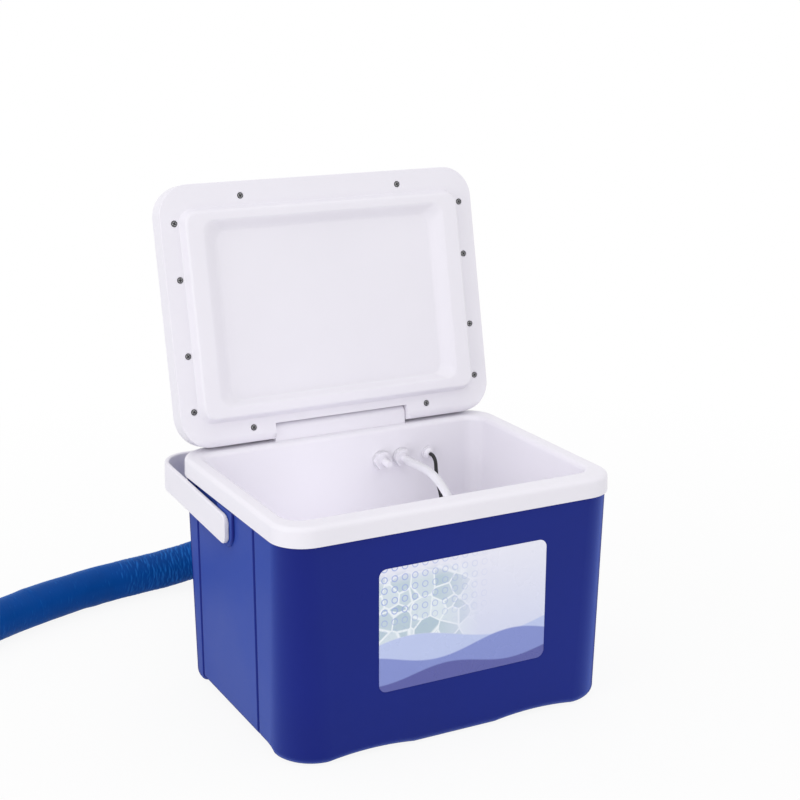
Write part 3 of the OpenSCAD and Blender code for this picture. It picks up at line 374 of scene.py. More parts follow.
MATS = {
    "shell_blue": plastic("shell_blue", (0.003, 0.008, 0.165), 0.42, grain=700, grain_depth=0.00005,
                          gloss=0.15, sheen=(0.11, 0.24, 0.9)),
    "white_plastic": plastic("white_plastic", (0.80, 0.78, 0.84), 0.40, vary=0.01, scuff=0.04, gloss=0.35),
    "foam": foam("foam", (0.86, 0.80, 0.58)),
    "label": label_print("label"),
    "steel": metal("steel", (0.56, 0.56, 0.58)),
    "screw_steel": screw_face("screw_steel", (0.34, 0.34, 0.35)),
    "grey_plastic": plastic("grey_plastic", (0.36, 0.37, 0.40), 0.42, vary=0.04),
    "black_plastic": plastic("black_plastic", (0.022, 0.022, 0.025), 0.45, vary=0.15),
    "black_rubber": rubber("black_rubber", (0.016, 0.016, 0.018)),
    "clear_tube": clear_vinyl("clear_tube", (0.80, 0.79, 0.84)),
    "hose_cover": leatherette("hose_cover", (0.001, 0.058, 0.284)),
    "wire": rubber("wire", (0.42, 0.02, 0.02), 0.4),
    "magnet": metal("magnet", (0.13, 0.13, 0.14), 0.45),
    "button_blue": plastic("button_blue", (0.03, 0.12, 0.42), 0.4),
}
slot_of = {s["node"]: s["material_slot"] for s in frame["record"]["subparts"]}
for node, obj in frame["nodes"].items():
    for s in obj.material_slots:
        s.material = MATS[slot_of[node]]


# ---------------------------------------------------------------- mesh helpers
def even_normals(o):
    """Keeps broad faces flat beside their rounded edges."""
    w = o.modifiers.new("normals", "WEIGHTED_NORMAL")
    w.keep_sharp, w.weight = True, 60


def per_vertex(o, name, values):
    """Gives each vertex a number or a vector that a material reads by this name."""
    values = np.array(values, float)
    assert len(values) == len(o.data.vertices)
    kind, field = ("FLOAT_VECTOR", "vector") if values.ndim == 2 else ("FLOAT", "value")
    o.data.attributes.new(name, kind, "POINT").data.foreach_set(field, values.ravel())


def piece(name, verts, faces, mat, body, replaced=(), matrix=None, angle=32, slot=None):
    me = bpy.data.meshes.new(name)
    me.from_pydata([tuple(v) for v in verts], [], [tuple(f) for f in faces])
    bm = bmesh.new()
    bm.from_mesh(me)
    bmesh.ops.remove_doubles(bm, verts=bm.verts, dist=1e-6)
    bmesh.ops.dissolve_degenerate(bm, edges=bm.edges, dist=1e-6)
    bmesh.ops.recalc_face_normals(bm, faces=bm.faces)
    bm.to_mesh(me)
    bm.free()
    if matrix is not None:
        me.transform(matrix)
    me.materials.append(MATS[mat])
    me.shade_smooth()
    me.set_sharp_from_angle(angle=math.radians(angle))
    o = bpy.data.objects.new(name, me)
    bpy.context.scene.collection.objects.link(o)
    even_normals(o)
    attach(o, body)
    if replaced:
        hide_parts(*replaced)
    return o


class Solid:
    """Gathers the vertices and faces of one piece, in mm."""

    def __init__(self):
        self.v, self.f = [], []

    def loft(self, rings, cap0=True, cap1=True):
        n, base = len(rings[0]), len(self.v)
        for r in rings:
            self.v += [tuple(c * MM for c in p) for p in r]
        for i in range(len(rings) - 1):
            a, b = base + i * n, base + (i + 1) * n
            self.f += [(a + j, a + (j + 1) % n, b + (j + 1) % n, b + j) for j in range(n)]
        if cap0:
            self.f.append(tuple(range(base, base + n)))
        if cap1:
            self.f.append(tuple(range(base + (len(rings) - 1) * n, base + len(rings) * n)))

    def make(self, *args, **kw):
        return piece(args[0], self.v, self.f, *args[1:], **kw)


CORNER_STEPS = 14


def ring(w, d, r, z, xs=(), ys=(), notch=None):
    """Points round a rounded rectangle, with more points at xs and ys on its sides along x and along y.

    A notch (x, y) sets the rear side in to y, from -x to x."""
    hw, hd = w / 2, d / 2
    xs = sorted(min(max(x, -(hw - r)), hw - r) for x in xs)
    ys = sorted(min(max(y, -(hd - r)), hd - r) for y in ys)
    p = []
    cw, cd = hw - r, hd - r
    for k, (cx, cy, a0) in enumerate(((cw, -cd, 270), (cw, cd, 0), (-cw, cd, 90), (-cw, -cd, 180))):
        for i in range(CORNER_STEPS + 1):
            a = math.radians(a0 + 90 * i / CORNER_STEPS)
            p.append((cx + r * math.cos(a), cy + r * math.sin(a), z))
        if k == 0:
            p += [(hw, y, z) for y in ys]
        elif k == 1:
            if notch:
                nx, ny = notch
                rear = min(ny, hd)
                p += [(x, hd, z) for x in reversed(xs) if x > nx]
                p += [(nx, hd, z), (nx, rear, z)] + [(x, rear, z) for x in reversed(xs) if abs(x) < nx]
                p += [(-nx, rear, z), (-nx, hd, z)]
                p += [(x, hd, z) for x in reversed(xs) if x < -nx]
            else:
                p += [(x, hd, z) for x in reversed(xs)]
        elif k == 2:
            p += [(-hw, y, z) for y in reversed(ys)]
        else:
            p += [(x, -hd, z) for x in xs]
    return p


def arc(n, a0=0.0, a1=90.0):
    return [math.radians(a0 + (a1 - a0) * i / n) for i in range(n + 1)]


def circle(n):
    """n angles evenly round a full turn, without the first one again."""
    return [2 * math.pi * i / n for i in range(n)]


def lerp(a, b, k):
    return a + (b - a) * k


def smooth_step(x, lo, hi):
    k = min(1.0, max(0.0, (x - lo) / (hi - lo)))
    return k * k * (3 - 2 * k)


def spline(points, step):
    """Catmull-Rom curve through points, with points about step apart."""
    p = [np.array(q, float) for q in points]
    out = []
    for i in range(len(p) - 1):
        a, b, c, d = p[max(i - 1, 0)], p[i], p[i + 1], p[min(i + 2, len(p) - 1)]
        n = max(2, int(round(np.linalg.norm(c - b) / step)))
        for k in range(n):
            t = k / n
            out.append(0.5 * (2 * b + (c - a) * t + (2 * a - 5 * b + 4 * c - d) * t * t
                              + (3 * b - a - 3 * c + d) * t ** 3))
    out.append(p[-1])
    return out


def even(path, step):
    """The same line with points evenly spaced."""
    p = np.array(path)
    s = np.concatenate([[0], np.cumsum(np.linalg.norm(np.diff(p, axis=0), axis=1))])
    t = np.linspace(0, s[-1], max(2, int(round(s[-1] / step)) + 1))
    return np.stack([np.interp(t, s, p[:, k]) for k in range(3)], 1), s[-1]


def frames(path, ref):
    """Tangent and two sides at every point of a path, turned as little as possible."""
    p = np.array(path)
    t = np.gradient(p, axis=0)
    t /= np.linalg.norm(t, axis=1)[:, None]
    u = np.cross(t[0], ref)
    u /= np.linalg.norm(u)
    sides = []
    for k in range(len(p)):
        u = u - t[k] * np.dot(u, t[k])
        u /= np.linalg.norm(u)
        sides.append((t[k], u.copy(), np.cross(u, t[k])))
    return sides


def tube_rings(path, radius, sides, ref=(0, 0, 1)):
    """Rings of a round tube along a path; ref sets where its sides begin."""
    turned = frames(path, np.array(ref, float))
    return [[tuple(p + radius * (math.cos(a) * u + math.sin(a) * v)) for a in circle(sides)]
            for p, (_, u, v) in zip(np.array(path), turned)]


# ---------------------------------------------------------------- cords: water hose, pump lead, supply tube
HOSE_EXIT_Y = 138.953
hose_points = [(HOSE_X, HOSE_EXIT_Y, HOSE_Z), (55, 161, 115), (55, 183, 115), (50, 225, 110), (34, 266, 96),
               (7, 301, 75), (-29, 328, 51), (-72, 346, 33), (-118, 351, 24), (-163, 348, 22),
               (-207, 340, 22), (-250, 328, 22), (-292, 313, 22), (-332, 295, 22), (-372, 274, 22),
               (-412, 252, 22)]
LOOP_CENTRE, LOOP_R, END_STRAIGHT = (-564, 409), 210, 44
LOOP_FROM, LOOP_STEP, LOOP_STEPS = 208.5, 15, 14
for i in range(LOOP_STEPS + 1):
    h = math.radians(LOOP_FROM - LOOP_STEP * i)
    loop_x, loop_y = LOOP_CENTRE[0] - LOOP_R * math.sin(h), LOOP_CENTRE[1] + LOOP_R * math.cos(h)
    hose_points.append((loop_x, loop_y, SLEEVE_R))
end_dir = np.array([math.cos(h), math.sin(h), 0])
end_side = np.array([-math.sin(h), math.cos(h), 0])
loop_end = np.array(hose_points[-1])
hose_points += [tuple(loop_end + end_dir * END_STRAIGHT / 2), tuple(loop_end + end_dir * END_STRAIGHT)]
hose_end = loop_end + end_dir * END_STRAIGHT
HOSE_STEP, HOSE_SIDES = 1.2, 76
CREASED = (240.0, 400.0)  # the stretch where every second crease lies, beside the box
FOLDS, CREASES, CREASE_MAX = 200, 6000, 0.35
ON_FLOOR = 0.25  # least height of the cloth above the floor
hose_path, hose_len = even(spline(hose_points, 3), HOSE_STEP)
rng = np.random.default_rng(7)


def sleeve_relief(stations, angles):
    """Height of the cloth over the sleeve's plain round: shallow folds, and fine creases across it."""
    along, height = stations[:, None], np.zeros((len(stations), len(angles)))
    height += 0.15 * np.sin(along / 37.0) + 0.1 * np.sin(along / 13.0 + 1.0)
    fine = np.zeros_like(height)
    folds = [(rng.uniform(0, stations[-1]), rng.uniform(0, 2 * math.pi), rng.uniform(6, 12),
              rng.uniform(0.5, 1.1), rng.uniform(0.08, 0.28), rng.uniform(-7, 7)) for _ in range(FOLDS)]
    for n in range(CREASES):
        anywhere = n % 2
        centre = rng.uniform(0, stations[-1]) if anywhere else np.interp(rng.beta(1.5, 1.5), (0, 1), CREASED)
        folds.append((centre, rng.uniform(0, 2 * math.pi), rng.uniform(0.7, 1.15), rng.uniform(0.08, 0.22),
                      rng.uniform(0.05, 0.16) if anywhere else rng.uniform(0.06, 0.18), rng.uniform(-1, 8)))
    for n, (s0, a0, width, spread, depth, slant) in enumerate(folds):
        near = slice(*np.searchsorted(stations, (s0 - 5 * width - 8, s0 + 5 * width + 8)))
        da = (angles - a0 + math.pi) % (2 * math.pi) - math.pi
        x = (along[near] - s0 - slant * da) / width
        dip = depth * np.exp(-((da / spread) ** 2)) * (np.exp(-x * x) - 0.7 * np.exp(-((x - 1.5) ** 2)))
        (height if n < FOLDS else fine)[near] += dip
    fine = CREASE_MAX * np.tanh(fine / CREASE_MAX)
    return height + fine, fine


stations = np.linspace(0, hose_len, len(hose_path))
angles = 2 * math.pi * np.arange(HOSE_SIDES) / HOSE_SIDES
relief, crease = sleeve_relief(stations, angles)
sides = frames(hose_path, np.array((0, 0, 1.0)))
u, v = np.array([q[1] for q in sides]), np.array([q[2] for q in sides])
out = np.cos(angles)[None, :, None] * u[:, None] + np.sin(angles)[None, :, None] * v[:, None]
cloth = hose_path[:, None] + (CLOTH_R + relief)[..., None] * out
cloth[..., 2] = np.maximum(cloth[..., 2], ON_FLOOR)
rows = [[tuple(q) for q in row] for row in cloth]
place = [(s0, SLEEVE_R * math.cos(a), SLEEVE_R * math.sin(a)) for s0 in stations for a in angles]
crest = list(crease.ravel())
# hemmed far end, turned in round the two tubes
for inset, back in ((0.5, 0.0), (2.0, -0.4), (4.0, -1.6), (6.0, -3.4)):
    rows.append([tuple(q + (hose_path[-1] - q) / SLEEVE_R * inset + end_dir * back) for q in cloth[-1]])
    r = SLEEVE_R - inset
    place += [(hose_len + inset, r * math.cos(a), r * math.sin(a)) for a in angles]
    crest += [0.0] * HOSE_SIDES
sleeve = Solid()
sleeve.loft(rows)
sleeve_obj = sleeve.make("hose_cover", "hose_cover", "cabinet", replaced=["hose_sleeve"], angle=80)
per_vertex(sleeve_obj, "on_sleeve", np.array(place) * MM)
# the creases' relief, read by the cover's material to paint highlight on crests and shade in troughs
per_vertex(sleeve_obj, "crest", crest)

# two bare tubes from the sleeve's end down to the coupling's ports
TAIL_L, TAIL_GAP, PORT_GAP, PORT_Z = 62, 14, 18, 12


def past_end(along, across, z):
    """A point beyond the sleeve's end, at height z over the floor."""
    return tuple(np.array([hose_end[0], hose_end[1], z]) + end_dir * along + end_side * across)


for side, name in ((1, "tail_left"), (-1, "tail_right")):
    inner, outer = side * TAIL_GAP / 2, side * PORT_GAP / 2
    pts = [past_end(-8, inner, SLEEVE_R), past_end(0, inner, SLEEVE_R), past_end(18, inner, SLEEVE_R),
           past_end(31, (inner + outer) / 2, (SLEEVE_R + PORT_Z) / 2), past_end(44, outer, PORT_Z),
           past_end(TAIL_L, outer, PORT_Z)]
    s = Solid()
    s.loft(tube_rings(even(spline(pts, 1.5), 2)[0], WATER_TUBE_D / 2, 20))
    s.make(name, "clear_tube", "cabinet", replaced=["hose_tails"], angle=60)

lead_pts = [(100, 104.092, 202.4), (100, 100.092, 202.4), (100, 95.6, 200.4), (100.1, 92.6, 196),
            (100.2, 91.4, 188), (101, 90.2, 176), (104.4, 88.6, 160), (107, 87.2, 140), (108.5, 86, 112),
            (108.5, 84, 84), (108.3, 80, 62), (107.5, 72, 44), (105.5, 62, 32.5), (103.5, 52, 27),
            (101.5, 42.5, 26.2), (99.5, 34.5, 28.8), (98, 28.5, 34.2), (96.6, 24.2, 40.3), (95.5, 19, 45.8),
            (95, 12, 48), (95, 8, 48)]
lead_path, lead_len = even(spline(lead_pts, 2), 2)
s = Solid()
s.loft(tube_rings(lead_path, LEAD_D / 2, 14, ref=(1, 0, 0)))
lead_obj = s.make("lead", "black_rubber", "cabinet", replaced=["pump_lead"], angle=60)

supply_pts = [(81.5, -37, 70), (81.5, -37, 84), (78, -36.5, 98), (74.5, -33.5, 119), (73, -23.5, 143),
              (72.5, -5, 167.5), (72, 19, 188), (71, 45, 199.5), (69, 69, 202.4), (67, 83.7, 202.4),
              (67, 95.7, 202.4)]
supply_path, supply_len = even(spline(supply_pts, 2), 2.5)
s = Solid()
s.loft(tube_rings(supply_path, WATER_TUBE_D / 2, 20, ref=(1, 0, 0)))
supply_obj = s.make("pump_hose", "clear_tube", "cabinet", replaced=["supply_tube"], angle=60)


# ---------------------------------------------------------------- cabinet shell
ARCH_R = ((ARCH_W / 2) ** 2 + ARCH_H ** 2) / (2 * ARCH_H)
STRIP_X = (SHELL_W / 2 - SHELL_DRAFT) - SIDE_STEP


def lift(x, y):
    """How far the underside is raised by the arches and by the strips under the side panels."""
    k = abs(x) - ARCH_X
    high = ARCH_H - ARCH_R + math.sqrt(ARCH_R ** 2 - k * k) if abs(k) < ARCH_W / 2 else 0.0
    risen = smooth_step(y, *(PANEL_YS[0] + step for step in STRIP_FRONT))
    ended = smooth_step(y, *(PANEL_YS[1] + step for step in STRIP_REAR))
    strip = STRIP_H * risen * (1 - ended) * smooth_step(abs(x), STRIP_X - 1, STRIP_X + 1)
    return max(0.0, high, strip)


def raised(points, reach=42.0):
    """Lifts points near the floor by the arches and strips, less and less up to the height reach."""
    out = []
    for x, y, z in points:
        k = max(0.0, 1 - z / reach)
        out.append((x, y, z + lift(x, y) * k * k * (3 - 2 * k) ** 0.5))
    return out


def grooved(points, w):
    """Pushes the middle points of each groove in."""
    out = []
    for x, y, z in points:
        g = max((1 - smooth_step(abs(y - gy), 0.4, GROOVE_W / 2)) for gy in PANEL_YS)
        flat = 1.0 if abs(abs(x) - w / 2) < 1e-6 else 0.0
        out.append((x - math.copysign(GROOVE_DEPTH * g * flat, x), y, z))
    return out


wall_xs = [-150 + 3.0 * i for i in range(101)]
groove_ys = [gy + k for gy in PANEL_YS for k in (-4, -2.8, -2.2, -1.6, -1, -0.4, 0.4, 1, 1.6, 2.2, 2.8, 4)]
between_ys = [-110 + 10 * i for i in range(23)]
wall_ys = sorted(groove_ys + [y for y in between_ys if min(abs(y - g) for g in PANEL_YS) > 5])


def wall_ring(z, inset=0.0):
    """Ring of the drafted wall at a height, and its width."""
    k = min(1.0, max(0.0, (SHELL_TOP - z) / (SHELL_TOP - FOOT_ROUND)))
    w = SHELL_W - 2 * SHELL_DRAFT * k - 2 * inset
    d = SHELL_D - 2 * SHELL_DRAFT * k - 2 * inset
    r = lerp(SHELL_R, FOOT_R, k) - inset
    return ring(w, d, r, z, wall_xs, wall_ys), w


rows = []
foot_w, foot_d = SHELL_W - 2 * SHELL_DRAFT, SHELL_D - 2 * SHELL_DRAFT
base_ring = ring(foot_w - 2 * FOOT_SOFT, foot_d - 2 * FOOT_SOFT, FOOT_R - FOOT_SOFT, 0, wall_xs, wall_ys)
# the underside from its middle outwards, the rounded foot, the wall up, and the wall's inside down
for k in (0.02, 0.25, 0.45, 0.6, 0.72, 0.82, 0.9, 0.96):
    rows.append(raised([(x * k, y * k, 0) for x, y, _ in base_ring]))
for a in reversed(arc(9)):
    inset = FOOT_SOFT * (1 - math.cos(a))
    z = FOOT_SOFT * (1 - math.sin(a))
    pts = ring(foot_w - 2 * inset, foot_d - 2 * inset, FOOT_R - inset, z, wall_xs, wall_ys)
    rows.append(grooved(raised(pts), foot_w - 2 * inset))
for z in (15, 19, 24, 30, 37, 45, 60, 90, 120, 150, 180, 205, 218, SHELL_TOP):
    pts, w = wall_ring(z)
    rows.append(grooved(raised(pts), w))
for z in (SHELL_TOP, 150, 60, 22):
    rows.append(wall_ring(z, SHELL_WALL)[0])
rows.append(wall_ring(12, SHELL_WALL + 6)[0])
shell = Solid()
shell.loft(rows)
# raised pads behind the strap's ends, drawn in at their outer edge
PAD_TOP = SHELL_H - 0.3
PAD_RINGS = ((174.5, 0), (178.6, 0), (179.3, 0.3), (179.9, 0.9), (180.2, 1.6), (180.3, 2.4))
for sx in (-1, 1):
    outline = [(PIVOT_Y - PAD_R, PAD_TOP)]
    outline += [(PIVOT_Y + PAD_R * math.cos(a), PIVOT_Z + PAD_R * math.sin(a)) for a in arc(24, 180, 360)]
    outline += [(PIVOT_Y + PAD_R, PAD_TOP)]
    centre = (PIVOT_Y, PIVOT_Z + 6)
    rows = []
    for x, inset in PAD_RINGS:
        row = []
        for y, z in outline:
            n = math.hypot(y - centre[0], z - centre[1])
            row.append((sx * x, y - (y - centre[0]) / n * inset, z - (z - centre[1]) / n * inset))
        rows.append(row)
    shell.loft(rows)
shell.make("cabinet_shell", "shell_blue", "cabinet", replaced=["outer_shell"], angle=40)

# ---------------------------------------------------------------- tub, rim and hinge block in one moulding
plain_xs = [-140 + 20 * i for i in range(15)]
plain_ys = [-90 + 20 * i for i in range(10)]


def tub_ring(w, d, r, z, grow=0.0):
    """Ring of the tub and rim, moved outwards all round by grow."""
    return ring(w + 2 * grow, d + 2 * grow, r + grow, z, plain_xs, plain_ys)


CASE, SHELL, TUB = (CASE_W, CASE_D, CORNER_R), (SHELL_W, SHELL_D, SHELL_R), (TUB_W, TUB_D, TUB_R)
TUB_LOW = (TUB_W - 2 * TUB_DRAFT, TUB_D - 2 * TUB_DRAFT, TUB_R - 2)
RIM_CHAMFER, SHELL_GAP = 0.7, 0.15
rim_foot = ((0, -RIM_CHAMFER), (0.15, -0.25), (RIM_CHAMFER, 0))
rows = [tub_ring(*CASE, SHELL_H + z, grow) for z, grow in rim_foot]
for a in arc(8):
    rows.append(tub_ring(*CASE, RIM_TOP - RIM_ROUND * (1 - math.sin(a)),
                         -RIM_DRAFT - RIM_ROUND * (1 - math.cos(a))))
for a in arc(8):
    rows.append(tub_ring(*TUB, RIM_TOP - MOUTH_ROUND * (1 - math.cos(a)), MOUTH_ROUND * (1 - math.sin(a))))
for a in arc(8):
    rows.append(tub_ring(*TUB_LOW, TUB_FLOOR + TUB_FLOOR_R * (1 - math.sin(a)),
                         -TUB_FLOOR_R * (1 - math.cos(a))))
tub = Solid()
tub.loft(rows, cap0=False)
# the same moulding from below: the rim's channel over the shell, then the tub's outside
under = [tub_ring(*CASE, SHELL_H, -RIM_CHAMFER)]
under += [tub_ring(*SHELL, z, SHELL_GAP) for z in (SHELL_H, RIM_TOP - RIM_PLATE)]
under.append(tub_ring(*TUB, RIM_TOP - RIM_PLATE, TUB_WALL))
outer_r = TUB_FLOOR_R + TUB_WALL
for a in arc(4):
    under.append(tub_ring(*TUB_LOW, TUB_FLOOR - TUB_WALL + outer_r * (1 - math.sin(a)),
                          TUB_WALL - outer_r * (1 - math.cos(a))))
tub.loft(under, cap0=False)
# hinge block
profile = [(HINGE_Y - BARREL_R, RIM_TOP - 1)]
profile += [(HINGE_Y + BARREL_R * math.cos(a), HINGE_Z + BARREL_R * math.sin(a)) for a in arc(24, 180, 0)]
profile += [(HINGE_Y + BARREL_R, RIM_TOP - 1)]
half = BLOCK_W / 2
block_end = [(half - 1, 0), (half - 0.3, 0.4), (half, 1.0)]
rows = []
for x, inset in [(-x, inset) for x, inset in reversed(block_end)] + block_end:
    row = []
    for y, z in profile:
        n = max(1e-6, math.hypot(y - HINGE_Y, z - HINGE_Z))
        row.append((x, y - (y - HINGE_Y) / n * inset, z - (z - HINGE_Z) / n * inset if z > RIM_TOP else z))
    rows.append(row)
tub.loft(rows)
tub.make("tub_and_rim", "white_plastic", "cabinet", replaced=["inner_liner"], angle=40)

# ---------------------------------------------------------------- lid
to_hinge = Matrix.Translation((0, HINGE_Y * MM, HINGE_Z * MM))
lid_matrix = to_hinge @ Matrix.Rotation(math.radians(-LID_OPEN), 4, "X") @ to_hinge.inverted()
FAR = 1e9
lid_xs = [-140, -130, -120, -110, -100, -90, -82, -70, -60, -50, -40, -30, -20, -10, 0]
lid_xs += [-x for x in lid_xs[:-1]]
lid_ys = [-90 + 12 * i for i in range(16)]


def lid_ring(w, d, r, z, notch=True, shift=0.0):
    """One ring of the lid, with its lower rear edge rounded about the hinge."""
    rear = HINGE_Y + math.sqrt(max(0.0, HEEL_R ** 2 - (HINGE_Z - z) ** 2)) if z < HINGE_Z else FAR
    points = ring(w, d, r, z, lid_xs, lid_ys, (NOTCH_X, NOTCH_Y if notch else FAR))
    return [(x, min(y + shift, rear), z) for x, y, z in points]


def lid_edge(inset, z):
    """Ring of the lid's outline, drawn in all round by inset; z counts from the seat."""
    return lid_ring(LID_W - 2 * inset, LID_D - 2 * inset, LID_R - inset, SEAT_Z + z)


CROWN_R = 20
rows = [lid_edge(0.5, FLANGE_T + 0.02)]
rows += [lid_edge(0, FLANGE_T + k) for k in (0.5, 0.8, 1.2, 1.7)]
rows += [lid_edge(LID_ROUND * (1 - math.cos(a)), LID_H - LID_ROUND * (1 - math.sin(a))) for a in arc(9)]
for k in (0.15, 0.3, 0.45, 0.6, 0.8, 1.0):
    inset = lerp(LID_ROUND, CROWN_IN, k)
    z = SEAT_Z + LID_H + LID_CROWN * (1 - (1 - k) ** 2)
    rows.append(lid_ring(LID_W - 2 * inset, LID_D - 2 * inset, lerp(LID_R - LID_ROUND, CROWN_R, k), z))
cover = Solid()
cover.loft(rows)
cover.make("lid_cover", "white_plastic", "lid", replaced=["lid_outer"], matrix=lid_matrix, angle=40)

face_z = SEAT_Z - PLUG_DEPTH
PLUG_ROUND, PLUG_CORNER_LESS = 4.0, 6


def plug_edge(inset, down, corner_less):
    """Ring of the plug, down from the seat, drawn in by inset and its corners by corner_less."""
    return lid_ring(PLUG_W - 2 * inset, PLUG_D - 2 * inset, PLUG_R - corner_less, SEAT_Z - down, False)


rows = [lid_edge(0.3, FLANGE_T)]
rows += [lid_edge(0, z) for z in (FLANGE_T - 0.3, 2.1, 1.5, 0.9)]
rows += [lid_edge(inset, z) for inset, z in ((0.1, 0.5), (0.25, 0.25), (0.5, 0.08), (0.9, 0.0))]
rows += [plug_edge(*step) for step in ((-1.2, 0, -1.2), (-0.3, 0.4, -0.3), (0.45, 1.8, 0.4))]
for a in arc(7, 10, 90):
    inset = PLUG_LEAN * (PLUG_DEPTH - PLUG_ROUND) / PLUG_DEPTH + PLUG_ROUND * (1 - math.cos(a)) * 0.9
    down = PLUG_DEPTH - PLUG_ROUND * (1 - math.sin(a))
    rows.append(plug_edge(inset, down, min(inset, PLUG_CORNER_LESS)))
mouth_w, mouth_d = PLUG_W - 2 * RING_X, PLUG_D - RING_FRONT - RING_REAR


def pan_ring(k, z, extra=0.0):
    """Ring of the recess: k is 0 at its mouth and 1 at its floor."""
    shift = (RING_FRONT - RING_REAR + (LEAN_FRONT - LEAN_REAR) * k) / 2
    return lid_ring(mouth_w - 2 * LEAN_X * k + 2 * extra, mouth_d - (LEAN_FRONT + LEAN_REAR) * k + 2 * extra,
                    RECESS_R + max(extra, -8), z, False, shift)


rows.append(pan_ring(0, face_z, 3.0))
for i in range(17):
    k = i / 16
    soft = 0.3 * k + 0.7 * smooth_step(k, 0, 1)
    rows.append(pan_ring(k, face_z + RECESS_DEPTH * soft))
rows.append(pan_ring(1, face_z + RECESS_DEPTH, -2.0))
rows.append(pan_ring(1, face_z + RECESS_DEPTH, -20.0))
panel = Solid()
panel.loft(rows)
panel_obj = panel.make("lid_inner_panel", "white_plastic", "lid", replaced=["lid_panel"], angle=40)
# counterbores for the screws, cut by a helper that is removed again
end_y = PLUG_D / 2 + SCREW_PAST_END
SCREWS = [(sx * (PLUG_W / 2 + SCREW_PAST_SIDE), y) for sx in (-1, 1) for y in SCREW_SIDE_YS]
SCREWS += [(sx * SCREW_FRONT_X, -end_y) for sx in (-1, 1)]
SCREWS += [(sx * SCREW_REAR_X, end_y) for sx in (-1, 1)]
bores = Solid()
for x, y in SCREWS:
    bores.loft([[(x + r * math.cos(a), y + r * math.sin(a), SEAT_Z + z) for a in circle(32)]
                for r, z in ((BORE_R + 0.45, -0.5), (BORE_R + 0.4, 0.0), (BORE_R, 0.25), (BORE_R, 1.9))])
cutter = bores.make("screw_bores", "white_plastic", "lid")
mod = panel_obj.modifiers.new("bores", "BOOLEAN")
mod.object, mod.operation, mod.solver = cutter, "DIFFERENCE", "EXACT"
panel_obj.modifiers.move(1, 0)
bpy.context.view_layer.update()
dg = bpy.context.evaluated_depsgraph_get()
cut_mesh = bpy.data.meshes.new_from_object(panel_obj.evaluated_get(dg))
panel_obj.modifiers.clear()
old = panel_obj.data
panel_obj.data = cut_mesh
cut_mesh.transform(lid_matrix)
cut_mesh.shade_smooth()
cut_mesh.set_sharp_from_angle(angle=math.radians(40))
bpy.data.meshes.remove(old)
bpy.data.objects.remove(cutter)
even_normals(panel_obj)

# cross-recess pan-head screws, domed by DOME, each with its cross turned another way
DOME, CROSS_DEPTH, CROSS_EDGES, CROSS_ENDS = 0.75, 1.2, (0.3, 0.6), (1.5, 1.9)
HEAD_SUNK, HEAD_RINGS, SCREW_SIDES = 0.12, 20, 48
# radius and height of each ring from the head's side to the tip
SHANK = ((HEAD_R, 1.5), (HEAD_R - 0.1, 1.85), (1.45, 1.85), (1.45, 12.4), (0.7, 13.0))


def cross(x, y):
    """1 in the cross recess and 0 on the head's face."""
    x, y = abs(x), abs(y)
    return max((1 - smooth_step(x, *CROSS_EDGES)) * (1 - smooth_step(y, *CROSS_ENDS)),
               (1 - smooth_step(y, *CROSS_EDGES)) * (1 - smooth_step(x, *CROSS_ENDS)))


heads = Solid()
unshaded = []
for x0, y0 in SCREWS:
    turn = (x0 * 0.7 + y0 * 0.3) % 1.5
    rings = []
    for j in range(2, HEAD_RINGS + 1):
        r = HEAD_R * j / HEAD_RINGS
        row = []
        for a in circle(SCREW_SIDES):
            slot = cross(r * math.cos(a + turn), r * math.sin(a + turn))
            z = SEAT_Z + HEAD_SUNK + DOME * (r / HEAD_R) ** 2.4 + CROSS_DEPTH * slot
            row.append((x0 + r * math.cos(a), y0 + r * math.sin(a), z))
            # painted shade mask: 0 in the cross recess and in a ring round the head's edge, 1 on the plain
            # face
            unshaded.append((1 - slot) * (1 - smooth_step(r, 2.1, 2.5)))
        rings.append(row)
    for r, z in SHANK:
        rings.append([(x0 + r * math.cos(a), y0 + r * math.sin(a), SEAT_Z + z) for a in circle(SCREW_SIDES)])
        # painted shade on the head's side as well; the shank stays plain
        unshaded += [0.0 if r > 2 else 1.0] * SCREW_SIDES
    heads.loft(rings)
heads_obj = heads.make("lid_screw_heads", "screw_steel", "lid", replaced=["lid_screws"], matrix=lid_matrix,
                       angle=35, slot="steel")
per_vertex(heads_obj, "unshaded", unshaded)

